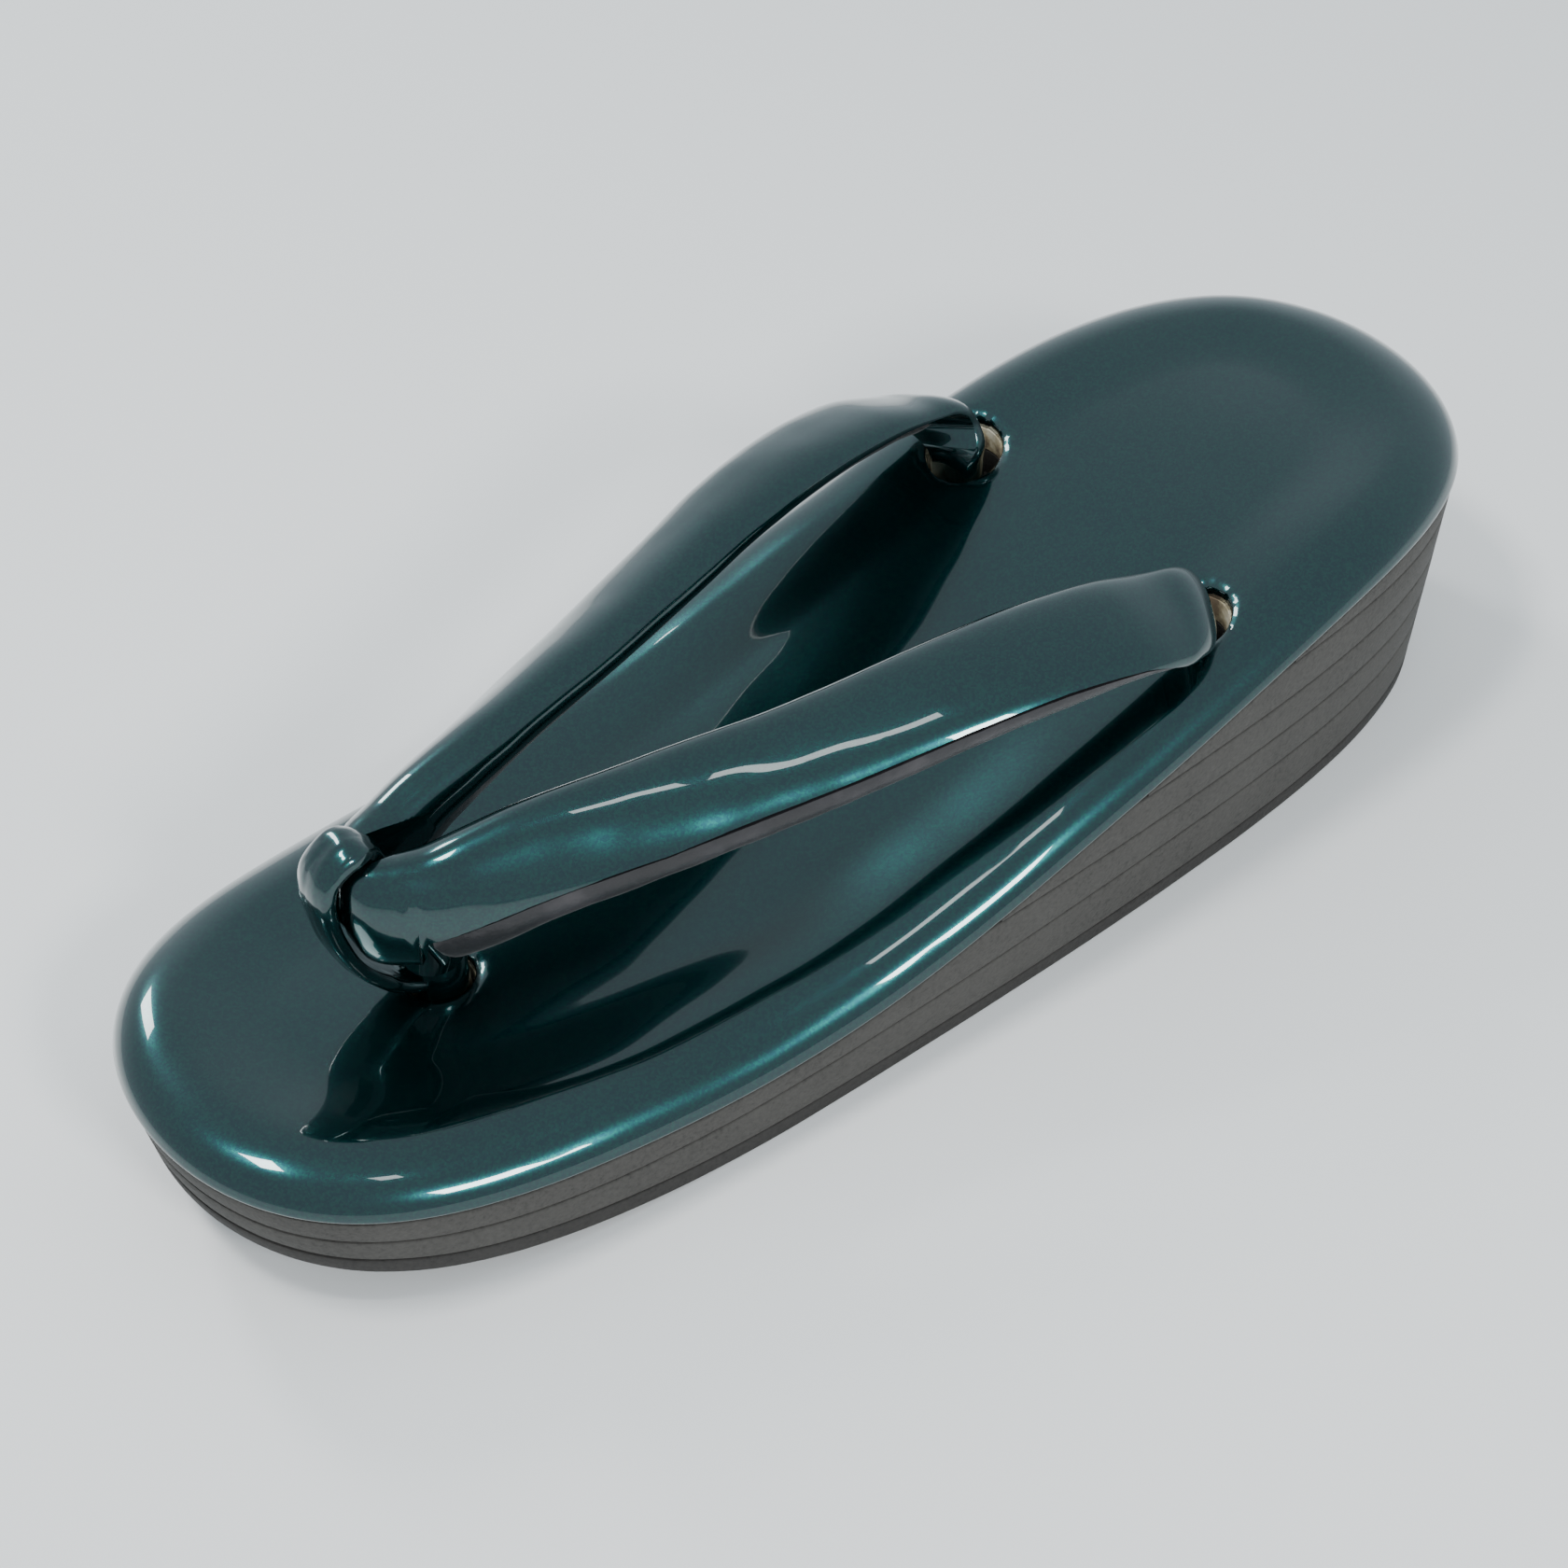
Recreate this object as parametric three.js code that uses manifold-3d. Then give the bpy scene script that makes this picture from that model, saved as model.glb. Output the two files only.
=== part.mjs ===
// One zori: an enamelled deck with a thong of two padded straps, on a wedge of foam sheets.
// Millimetres, +Z up. The toe points to -Y, the origin is under the middle of the sole, on the floor.
import * as THREE from 'three';
import { mergeVertices } from 'three/addons/utils/BufferGeometryUtils.js';
import Module from 'manifold-3d';

const wasm = await Module();
wasm.setup();

// Sole
const soleLength = 240;
const soleWidth = 88.6;
const ballThickness = 13.3;
const heelThickness = 42.3;
const toeLift = 12.4;
const sideTuck = 3.2;
const sheetEdge = 0.35;
const clearance = 0.3;
const outsoleThickness = 3;

// Deck
const padRise = 7;
const padRim = 11;
const bowlDepth = 1.6;
const bowlReach = 13;
const coverWall = 1.2;
const coverTuck = 0.8;

// Holes for the thong, placed by shares of the sole's length and width from its middle
const jointPlaceShare = -0.325;
const frontHoleShare = -0.302;
const backHoleShare = 0.2067;
const backHoleSideShare = 0.3115;
const frontHoleRadius = 5.2;
const backHoleRadius = 6.4;
const coverHoleLip = 0.4;
const pocketDepth = 3.2;
const jointY = jointPlaceShare * soleLength;
const frontHoleY = frontHoleShare * soleLength;
const backHoleY = backHoleShare * soleLength;
const backHoleX = backHoleSideShare * soleWidth;
const strapRun = backHoleY - jointY;

// Thong
const strapArch = 27.8;
const strapWidth = 19;
const strapThickness = 9.4;
const liningInset = 0.5;
const neckWidth = 10;
const neckThickness = 6;
const neckSeam = -0.8;
const loopWidth = 8.8;
const loopWall = 2.3;
const loopSlack = 1.3;
const loopCurl = 0.9;

// The loop fits around the joint of the straps, which stands at a share of their arch.
const jointShare = 0.765;
const loopDepthShare = 0.196;
const loopHeight = jointShare * strapArch + (strapWidth + loopWall) / 2 + loopSlack;
const loopDepth = loopDepthShare * strapRun;

// The loop's stem goes up to a share of its height, and is a little flat from front to back.
const stemShare = 0.12;
const stemFlatness = 0.86;

// How finely curves are cut
const outlineSteps = 88;
const arcSteps = 7;

// The outline is symmetrical: its half width is a short sum of sines of an angle that runs from
// the tip of the toe, 0, to the back of the heel, pi. Each share is of half the sole's width.
const outlineWaves = [
  { order: 1, share: 1.117 },
  { order: 2, share: -0.0125 },
  { order: 3, share: 0.138 },
  { order: 5, share: 0.021 },
];

// Thickness of the sole under the deck, as a share of the way from ball to heel thickness.
const wedgeTable = [
  { at: 0, share: -0.052 },
  { at: 0.2, share: 0 },
  { at: 0.4, share: 0.078 },
  { at: 0.6, share: 0.492 },
  { at: 0.8, share: 0.892 },
  { at: 1, share: 1 },
];

// How far the bottom edge of the side stands in from the top one, as a share of the side's tuck.
const tuckTable = [
  { at: 0, share: 0.4 },
  { at: 0.15, share: 0.2 },
  { at: 0.3, share: 0.25 },
  { at: 0.45, share: 0.5 },
  { at: 0.6, share: 0.63 },
  { at: 0.75, share: 0.75 },
  { at: 0.9, share: 1.05 },
  { at: 1, share: 1 },
];

// Seams between the foam sheets, as shares of the heel's thickness. The lowest two follow the
// lifted toe, and the upper ones are level and run out under the deck.
const seamTable = [
  { name: 'foam_sheet_1', toe: 0.18, heel: 0.3 },
  { name: 'foam_sheet_2', toe: 0.475, heel: 0.475 },
  { name: 'foam_sheet_3', toe: 0.66, heel: 0.66 },
  { name: 'foam_sheet_4', toe: 0.852, heel: 0.852 },
  { name: 'foam_sheet_5', toe: 2, heel: 2 },
];

const liftShare = 0.34;
const seamLevelShare = 0.7;
const thinnestSheet = 0.4;

// Rings of the deck's top, by their distance in from the outline, as shares of the rim and the bowl.
const rimRings = [0.03, 0.08, 0.16, 0.28, 0.44, 0.64, 0.84, 1];
const bowlRings = [0.35, 0.7, 1];
const innerRimRings = [0.05, 0.2, 0.5, 1];
const innerBowlRings = [0.5, 1];

// One strap from its joint under the loop to the fold over the back hole. Columns: along, from the
// middle of the joint to the back hole; out, of the back hole's distance from the middle; rise, of
// the arch over the deck; tilt and skew in degrees; half, of half the width; thick, of half the
// thickness; turn, of the plane between enamel and lining from the strap's own plane, in degrees;
// seam, the height of that plane over the middle, of the section's reach square to it.
const strapTable = [
  { along: -0.052, out: 0.06, rise: 0.76, tilt: 84, skew: 0, half: 0.3, thick: 0.35, turn: 74, seam: -1 },
  { along: -0.047, out: 0.07, rise: 0.76, tilt: 84, skew: 0, half: 0.62, thick: 0.58, turn: 74, seam: -1 },
  { along: -0.036, out: 0.08, rise: 0.765, tilt: 84, skew: 0, half: 0.84, thick: 0.8, turn: 74, seam: -1 },
  { along: -0.02, out: 0.125, rise: 0.772, tilt: 82, skew: 0, half: 0.92, thick: 0.96, turn: 72, seam: -1 },
  { along: 0.012, out: 0.205, rise: 0.778, tilt: 78.5, skew: 0, half: 0.95, thick: 1.08, turn: 68, seam: -1 },
  { along: 0.02, out: 0.222, rise: 0.78, tilt: 77.5, skew: 0, half: 0.96, thick: 1.1, turn: 67, seam: -0.05 },
  { along: 0.045, out: 0.268, rise: 0.79, tilt: 74, skew: 0, half: 0.97, thick: 1.14, turn: 64, seam: 0 },
  { along: 0.092, out: 0.345, rise: 0.857, tilt: 64, skew: 0, half: 0.96, thick: 1.14, turn: 54, seam: 0.02 },
  { along: 0.154, out: 0.417, rise: 0.924, tilt: 55, skew: 0, half: 0.95, thick: 1.12, turn: 44, seam: 0.05 },
  { along: 0.271, out: 0.572, rise: 0.992, tilt: 39, skew: 0, half: 0.94, thick: 1.06, turn: 31, seam: 0.08 },
  { along: 0.389, out: 0.714, rise: 1, tilt: 28, skew: 0, half: 0.94, thick: 1, turn: 23, seam: 0.12 },
  { along: 0.505, out: 0.855, rise: 0.968, tilt: 20, skew: 0, half: 0.95, thick: 0.94, turn: 17, seam: 0.15 },
  { along: 0.622, out: 0.985, rise: 0.908, tilt: 15, skew: 0, half: 0.97, thick: 0.88, turn: 12, seam: 0.17 },
  { along: 0.74, out: 1.09, rise: 0.79, tilt: 13.5, skew: 4, half: 0.99, thick: 0.8, turn: 9, seam: 0.17 },
  { along: 0.85, out: 1.16, rise: 0.622, tilt: 14, skew: 10, half: 0.96, thick: 0.7, turn: 5, seam: 0.12 },
  { along: 0.925, out: 1.19, rise: 0.432, tilt: 15, skew: 18, half: 0.9, thick: 0.6, turn: 0, seam: 0 },
];

// The fold and the neck that goes down into the back hole. Columns as above, with drop in place of
// rise: the way down from the fold to the end of the neck; lean, how far the section has turned from
// the strap's run to straight down, in degrees; narrow, the way from the strap's section to the neck's.
const neckTable = [
  { along: 0.953, out: 1.186, drop: 0.055, lean: 20, tilt: 15, skew: 24, narrow: 0.1 },
  { along: 0.97, out: 1.168, drop: 0.13, lean: 48, tilt: 15, skew: 27, narrow: 0.2 },
  { along: 0.981, out: 1.125, drop: 0.25, lean: 72, tilt: 14, skew: 28, narrow: 0.4 },
  { along: 0.986, out: 1.022, drop: 0.38, lean: 84, tilt: 9, skew: 26, narrow: 0.78 },
  { along: 0.988, out: 1.008, drop: 0.53, lean: 88, tilt: 3, skew: 20, narrow: 1 },
  { along: 0.988, out: 1.002, drop: 0.75, lean: 90, tilt: 0, skew: 14, narrow: 1 },
  { along: 0.988, out: 1, drop: 1, lean: 90, tilt: 0, skew: 12, narrow: 1 },
];

// The lining starts behind the loop and ends in front of the fold.
const liningStartShare = 0.026;
const liningEndShare = 0.915;

// The loop around the joint of the straps, seen from the side. Columns: along, of the loop's depth
// behind the joint's middle; rise, of its height over the deck; half, of half its width.
const loopTable = [
  { along: 0.12, rise: 0.02, half: 0.75 },
  { along: -0.06, rise: 0.11, half: 0.8 },
  { along: -0.19, rise: 0.24, half: 0.9 },
  { along: -0.3, rise: 0.39, half: 0.97 },
  { along: -0.37, rise: 0.58, half: 1 },
  { along: -0.385, rise: 0.79, half: 1 },
  { along: -0.33, rise: 0.93, half: 1 },
  { along: -0.2, rise: 1, half: 1 },
  { along: -0.09, rise: 0.995, half: 0.9 },
  { along: 0, rise: 0.91, half: 0.5 },
  { along: 0.04, rise: 0.74, half: 0.5 },
  { along: 0.1, rise: 0.5, half: 0.5 },
  { along: 0.18, rise: 0.28, half: 0.6 },
  { along: 0.25, rise: 0.08, half: 0.75 },
];

// The straps part behind the joint, where the loop goes down between them.
const partingPlace = 0.12;
const partingLean = 12;
const partingDepth = 12;

const lerp = THREE.MathUtils.lerp;
const radians = THREE.MathUtils.degToRad;

const enamel = { color: 0x04342f, roughness: 0.12, metalness: 0.55 };
const foam = { color: 0x55524d, roughness: 0.85, metalness: 0 };
const rubber = { color: 0x34312e, roughness: 0.9, metalness: 0 };
const corkFoam = { color: 0xcdc4a6, roughness: 0.9, metalness: 0 };
const cloth = { color: 0x3b393d, roughness: 0.7, metalness: 0 };

// A smooth curve through one column of a table, read at a share of the way along it.
function readTable(table, key, column, at) {
  const last = table.length - 1;
  let i = 0;
  while (i < last - 1 && at > table[i + 1][key]) {
    i += 1;
  }
  const slope = (j) => {
    const a = Math.max(j - 1, 0);
    const b = Math.min(j + 1, last);
    return (table[b][column] - table[a][column]) / (table[b][key] - table[a][key]);
  };
  const span = table[i + 1][key] - table[i][key];
  const t = THREE.MathUtils.clamp((at - table[i][key]) / span, 0, 1);
  const t2 = t * t;
  const t3 = t2 * t;
  return (2 * t3 - 3 * t2 + 1) * table[i][column] + (t3 - 2 * t2 + t) * span * slope(i)
    + (3 * t2 - 2 * t3) * table[i + 1][column] + (t3 - t2) * span * slope(i + 1);
}

// Heights of the sole along its length
const shareOf = (y) => y / soleLength + 0.5;

function bottomAt(y) {
  const lifted = Math.max(liftShare - shareOf(y), 0) / liftShare;
  return toeLift * lifted ** 2;
}

function thicknessAt(y) {
  const share = readTable(wedgeTable, 'at', 'share', THREE.MathUtils.clamp(shareOf(y), 0, 1));
  return lerp(ballThickness, heelThickness, share);
}

const seatAt = (y) => bottomAt(y) + thicknessAt(y);
const deckAt = (y) => seatAt(y) + clearance + padRise - bowlDepth;

function seamAt(seam, y) {
  const way = THREE.MathUtils.smoothstep(shareOf(y), 0, seamLevelShare);
  return bottomAt(y) + heelThickness * lerp(seam.toe, seam.heel, way);
}

// A point of the outline, moved in square to it
function outlinePoint(angle, inset) {
  let x = 0;
  let dx = 0;
  for (const wave of outlineWaves) {
    x += wave.share * Math.sin(wave.order * angle);
    dx += wave.share * wave.order * Math.cos(wave.order * angle);
  }
  const half = soleWidth / 2;
  const tangent = new THREE.Vector2(dx * half, Math.sin(angle) * soleLength / 2).normalize();
  const y = -Math.cos(angle) * soleLength / 2;
  return new THREE.Vector2(x * half - tangent.y * inset, y + tangent.x * inset);
}

// A closed geometry from rings of equal length, with a cap at each end made of strips between
// point i and its partner, so that a ring that is level across keeps a level cap.
function loft(rings, closed = false) {
  const n = rings[0].length;
  const positions = rings.flat().flatMap((p) => [p.x, p.y, p.z]);
  const index = [];
  const turns = closed ? rings.length : rings.length - 1;
  for (let r = 0; r < turns; r += 1) {
    const a = r * n;
    const b = ((r + 1) % rings.length) * n;
    for (let i = 0; i < n; i += 1) {
      const j = (i + 1) % n;
      index.push(a + i, a + j, b + j, a + i, b + j, b + i);
    }
  }
  const cap = (base, flip) => {
    for (let i = 0; i < n / 2 - 1; i += 1) {
      const quad = [base + i, base + n - 1 - i, base + n - 2 - i, base + i + 1];
      if (flip) {
        quad.reverse();
      }
      index.push(quad[0], quad[1], quad[2], quad[0], quad[2], quad[3]);
    }
  };
  if (!closed) {
    cap(0, false);
    cap((rings.length - 1) * n, true);
  }
  const geometry = new THREE.BufferGeometry();
  geometry.setAttribute('position', new THREE.Float32BufferAttribute(positions, 3));
  geometry.setIndex(index);
  return geometry;
}

function toSolid(geometry) {
  const plain = geometry.clone();
  plain.deleteAttribute('normal');
  plain.deleteAttribute('uv');
  const merged = mergeVertices(plain, 1e-4);
  return new wasm.Manifold(new wasm.Mesh({
    numProp: 3,
    vertProperties: new Float32Array(merged.attributes.position.array),
    triVerts: new Uint32Array(merged.index.array),
  }));
}

// The same geometry, turned right side out if its faces point in
function outward(geometry) {
  const p = geometry.attributes.position;
  const index = Array.from(geometry.index.array);
  const [a, b, c] = [new THREE.Vector3(), new THREE.Vector3(), new THREE.Vector3()];
  let volume = 0;
  for (let i = 0; i < index.length; i += 3) {
    a.fromBufferAttribute(p, index[i]);
    b.fromBufferAttribute(p, index[i + 1]);
    c.fromBufferAttribute(p, index[i + 2]);
    volume += a.dot(b.cross(c));
  }
  if (volume < 0) {
    for (let i = 0; i < index.length; i += 3) {
      [index[i], index[i + 1]] = [index[i + 1], index[i]];
    }
    geometry.setIndex(index);
  }
  return geometry;
}

function fromSolid(solid) {
  const mesh = solid.getMesh();
  const positions = [];
  for (let i = 0; i < mesh.vertProperties.length; i += mesh.numProp) {
    positions.push(mesh.vertProperties[i], mesh.vertProperties[i + 1], mesh.vertProperties[i + 2]);
  }
  const geometry = new THREE.BufferGeometry();
  geometry.setAttribute('position', new THREE.Float32BufferAttribute(positions, 3));
  geometry.setIndex(Array.from(mesh.triVerts));
  return geometry;
}

// Upright cylinders at the three holes, from the floor of each pocket up past the deck
function holeCutters(growth) {
  const places = [
    { x: 0, y: frontHoleY, radius: frontHoleRadius },
    { x: backHoleX, y: backHoleY, radius: backHoleRadius },
    { x: -backHoleX, y: backHoleY, radius: backHoleRadius },
  ];
  return places.map(({ x, y, radius }) => {
    const low = seatAt(y) - pocketDepth;
    const high = seatAt(y) + 3 * padRise;
    const cylinder = new THREE.CylinderGeometry(radius + growth, radius + growth, high - low, 24);
    cylinder.rotateX(Math.PI / 2);
    cylinder.translate(x, y, (low + high) / 2);
    return toSolid(cylinder);
  });
}

function pierced(geometry, growth = 0) {
  const whole = toSolid(outward(geometry));
  return fromSolid(holeCutters(growth).reduce((solid, cutter) => solid.subtract(cutter), whole));
}

// A sheet of the sole between two heights that depend on the length alone. Its edge is cut back a
// little above and below, which makes the seam lines of the side.
function sheetGeometry(lowAt, highAt) {
  const rows = [];
  const steps = outlineSteps / 2;
  const insetAt = (y, z) => {
    const tuck = sideTuck * readTable(tuckTable, 'at', 'share', THREE.MathUtils.clamp(shareOf(y), 0, 1));
    return lerp(tuck, clearance, (z - bottomAt(y)) / thicknessAt(y));
  };
  const ringPoint = (angle, heightAt, edge) => {
    const y0 = outlinePoint(angle, 0).y;
    const p = outlinePoint(angle, insetAt(y0, heightAt(y0)) + edge);
    return new THREE.Vector3(p.x, p.y, heightAt(p.y));
  };
  const thickAt = (angle) => {
    const y = outlinePoint(angle, 0).y;
    return highAt(y) - lowAt(y);
  };
  const angles = [];
  for (let k = 0; k < steps; k += 1) {
    angles.push(Math.PI * (k + 0.5) / steps);
  }
  const first = angles.findIndex((angle) => thickAt(angle) > thinnestSheet);
  if (first > 0) {
    let [thin, thick] = [angles[first - 1], angles[first]];
    while (thick - thin > 1e-4) {
      const middle = (thin + thick) / 2;
      [thin, thick] = thickAt(middle) > thinnestSheet ? [thin, middle] : [middle, thick];
    }
    angles.splice(0, first, thick);
  }
  for (const angle of angles) {
    const right = [
      ringPoint(angle, lowAt, sheetEdge),
      ringPoint(angle, (v) => lowAt(v) + Math.min(sheetEdge, thinnestSheet / 2), 0),
      ringPoint(angle, (v) => highAt(v) - Math.min(sheetEdge, thinnestSheet / 2), 0),
      ringPoint(angle, highAt, sheetEdge),
    ];
    const left = right.map((p) => new THREE.Vector3(-p.x, p.y, p.z)).reverse();
    rows.push([...right, ...left]);
  }
  return loft(rows);
}

function outsoleGeometry() {
  return outward(sheetGeometry(bottomAt, (y) => bottomAt(y) + outsoleThickness));
}

function foamSheetGeometry(i) {
  const half = clearance / 2;
  const below = (y) => (i === 0 ? bottomAt(y) + outsoleThickness : seamAt(seamTable[i - 1], y));
  const lowAt = (y) => below(y) + (i === 0 ? clearance : half);
  const highAt = (y) => Math.min(seamAt(seamTable[i], y) - half, seatAt(y));
  return pierced(sheetGeometry(lowAt, highAt));
}

// Height of the pad's top over its seat, at a distance in from the outline
function padHeight(inset, rim, rise) {
  const t = THREE.MathUtils.clamp(inset / rim, 0, 1);
  const sink = THREE.MathUtils.smoothstep(inset, padRim * 0.8, padRim + bowlReach);
  return rise * Math.sqrt(1 - (1 - t) ** 2) - bowlDepth * sink;
}

// Rings of the pad's top, from the outline inwards. The wall moves them in and down.
function padRings(wall, rim, bowl) {
  const insets = [
    ...rim.map((share) => wall + share * (padRim - wall)),
    ...bowl.map((share) => padRim + share * bowlReach),
  ];
  return insets.map((inset) => (
    outlineRing(inset, padHeight(inset - wall, padRim - wall, padRise - wall) + clearance)
  ));
}

function outlineRing(inset, over) {
  const ring = [];
  for (let k = 0; k < outlineSteps; k += 1) {
    const angle = 2 * Math.PI * (k + 0.5) / outlineSteps;
    const side = angle > Math.PI ? -1 : 1;
    const half = side > 0 ? angle : 2 * Math.PI - angle;
    const p = outlinePoint(half, inset);
    ring.push(new THREE.Vector3(side * p.x, p.y, seatAt(p.y) + over));
  }
  return ring;
}

// The enamelled cover: a shallow shell, open underneath, whose edge tucks in over the sole
function deckCoverGeometry() {
  const rings = [
    ...padRings(coverWall + clearance, innerRimRings, innerBowlRings).reverse(),
    outlineRing(coverWall + coverTuck, clearance),
    outlineRing(coverTuck, clearance),
    outlineRing(0.15 * coverTuck, clearance + 0.1 * padRise),
    ...padRings(0, rimRings, bowlRings),
  ];
  return pierced(loft(rings), coverHoleLip);
}

function deckCoreGeometry() {
  const wall = coverWall + 2 * clearance + coverTuck;
  return pierced(loft([outlineRing(wall, clearance), ...padRings(wall, innerRimRings, innerBowlRings)]));
}

// Centre and axes of a strap's section
function strapFrames() {
  const frames = strapTable.map((row) => {
    const y = jointY + row.along * strapRun;
    return {
      row,
      centre: new THREE.Vector3(row.out * backHoleX, y, deckAt(y) + row.rise * strapArch),
      half: row.half * strapWidth / 2,
      thick: row.thick * strapThickness / 2,
      turn: row.turn,
      seam: row.seam,
    };
  });
  frames.forEach((frame, i) => {
    const before = frames[Math.max(i - 1, 0)].centre;
    const after = frames[Math.min(i + 1, frames.length - 1)].centre;
    Object.assign(frame, sectionAxes(after.clone().sub(before).normalize(), frame.row.tilt, frame.row.skew));
  });
  const last = frames[frames.length - 1];
  const end = seatAt(backHoleY) - pocketDepth + clearance;
  const necks = neckTable.map((row) => {
    const y = jointY + row.along * strapRun;
    const top = last.centre.z;
    const lean = radians(row.lean);
    const down = new THREE.Vector3(0, Math.cos(lean), -Math.sin(lean));
    return {
      row,
      centre: new THREE.Vector3(row.out * backHoleX, y, lerp(top, end, row.drop)),
      half: lerp(last.half, neckWidth / 2, row.narrow),
      thick: lerp(last.thick, neckThickness / 2, row.narrow),
      turn: 0,
      seam: lerp(last.seam, neckSeam, row.narrow),
      ...sectionAxes(down, row.tilt, row.skew),
    };
  });
  return [...frames, ...necks];
}

// Across runs from the strap's inner edge to its outer one, and up stands out of its face
function sectionAxes(tangent, tilt, skew) {
  const across = new THREE.Vector3(
    Math.cos(radians(tilt)) * Math.cos(radians(skew)),
    -Math.cos(radians(tilt)) * Math.sin(radians(skew)),
    -Math.sin(radians(tilt)),
  );
  const up = new THREE.Vector3().crossVectors(across, tangent).normalize();
  return { across, up };
}

const roundness = 2 / 2.3;
const rounded = (v) => Math.sign(v) * Math.abs(v) ** roundness;

// The part of a rounded section above or below a plane, which lies a drop under the seam. The
// plane's two crossings with the section are found by halving, on either side of its far point.
function sectionRing(frame, inset, drop, above) {
  const half = frame.half - inset;
  const thick = frame.thick - inset * Math.sin(radians(frame.turn));
  const [across, up] = [-Math.sin(radians(frame.turn)), Math.cos(radians(frame.turn))];
  const far = Math.atan2(thick * up, half * across);
  const pointAt = (angle) => [rounded(Math.cos(angle)) * half, rounded(Math.sin(angle)) * thick];
  const heightAt = (angle) => {
    const [s, n] = pointAt(angle);
    return s * across + n * up;
  };
  const reach = Math.hypot(frame.half * across, frame.thick * up);
  const level = frame.seam * reach - drop;
  const crossing = (side) => {
    let [over, under] = [0, Math.PI];
    while (under - over > 1e-4) {
      const middle = (over + under) / 2;
      [over, under] = heightAt(far + side * middle) > level ? [middle, under] : [over, middle];
    }
    return far + side * over;
  };
  const from = crossing(-1);
  const to = above ? crossing(1) : crossing(1) - 2 * Math.PI;
  const steps = 2 * arcSteps - 1;
  const ring = [];
  for (let i = 0; i <= steps; i += 1) {
    const [s, n] = pointAt(lerp(from, to, i / steps));
    ring.push(frame.centre.clone().addScaledVector(frame.across, s).addScaledVector(frame.up, n));
  }
  return ring;
}

function strapGeometry(side) {
  const rings = strapFrames().map((frame) => sectionRing(frame, 0, 0, true));
  return outward(mirrored(loft(rings), side));
}

function mirrored(geometry, side) {
  geometry.scale(side, 1, 1);
  return geometry;
}

// Both straps, joined where they meet under the loop and parted behind it. The largest body
// leaves out the bubble that their round backs can close between them.
function thongGeometry() {
  const joined = toSolid(strapGeometry(1)).add(toSolid(strapGeometry(-1))).subtract(partingSolid());
  const bodies = joined.decompose().sort((a, b) => b.volume() - a.volume());
  return fromSolid(bodies[0]);
}

function partingSolid() {
  const narrow = Math.min(...loopTable.map((row) => row.half));
  const width = narrow * loopWidth + 4 * clearance;
  const block = new THREE.BoxGeometry(width, partingDepth, 2 * loopHeight);
  block.translate(0, partingDepth / 2, 0);
  block.rotateX(radians(partingLean));
  block.translate(0, jointY - partingPlace * loopDepth, deckAt(jointY) + loopHeight);
  return toSolid(block);
}

function liningGeometry(side) {
  const frames = strapFrames();
  const chosen = frames.filter(({ row, seam }) => (
    row.along >= liningStartShare && row.along <= liningEndShare && seam > -1
  ));
  const ends = [blend(frames, liningStartShare), blend(frames, liningEndShare)];
  const rings = [ends[0], ...chosen, ends[1]].map((frame) => (
    sectionRing(frame, liningInset, 2 * clearance, false)
  ));
  return outward(mirrored(loft(rings), side));
}

// A section between two rows of the strap's table
function blend(frames, along) {
  const i = frames.findIndex(({ row }) => row.along > along);
  const [a, b] = [frames[i - 1], frames[i]];
  const t = (along - a.row.along) / (b.row.along - a.row.along);
  return {
    centre: a.centre.clone().lerp(b.centre, t),
    across: a.across.clone().lerp(b.across, t).normalize(),
    up: a.up.clone().lerp(b.up, t).normalize(),
    half: lerp(a.half, b.half, t),
    thick: lerp(a.thick, b.thick, t),
    turn: lerp(a.turn, b.turn, t),
    seam: lerp(a.seam, b.seam, t),
  };
}

// A flat band bent around the joint of the straps, with both ends in one stem in the front hole
function loopGeometry() {
  const base = deckAt(jointY);
  const path = loopTable.map((row) => (
    new THREE.Vector3(0, jointY + row.along * loopDepth, base + row.rise * loopHeight)
  ));
  const curve = new THREE.CatmullRomCurve3(path, true, 'centripetal');
  const rings = [];
  const steps = 2 * loopTable.length;
  for (let k = 0; k < steps; k += 1) {
    const t = k / steps;
    const i = Math.floor(t * loopTable.length);
    const next = loopTable[(i + 1) % loopTable.length];
    const half = lerp(loopTable[i].half, next.half, t * loopTable.length - i) * loopWidth / 2;
    const centre = curve.getPoint(t);
    const tangent = curve.getTangent(t);
    const out = new THREE.Vector3(0, -tangent.z, tangent.y);
    const ring = [];
    for (let j = 0; j < 12; j += 1) {
      const angle = 2 * Math.PI * (j + 0.5) / 12;
      const p = centre.clone();
      p.x += rounded(Math.cos(angle)) * half;
      const curl = loopCurl * (2 * p.x / loopWidth) ** 2;
      ring.push(p.addScaledVector(out, rounded(Math.sin(angle)) * loopWall / 2 - curl));
    }
    rings.push(ring);
  }
  const band = toSolid(outward(loft(rings, true)));
  const low = seatAt(frontHoleY) - pocketDepth + clearance;
  const high = base + stemShare * loopHeight;
  const radius = frontHoleRadius - 2 * clearance;
  const stem = new THREE.CylinderGeometry(radius, radius, high - low, 20);
  stem.scale(1, 1, stemFlatness);
  stem.rotateX(Math.PI / 2);
  stem.translate(0, frontHoleY, (low + high) / 2);
  return fromSolid(band.add(toSolid(stem)));
}

const zori = new THREE.Group();

function addPiece(name, geometry, finish) {
  geometry.computeVertexNormals();
  const mesh = new THREE.Mesh(geometry, new THREE.MeshStandardMaterial(finish));
  mesh.name = name;
  zori.add(mesh);
}

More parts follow.
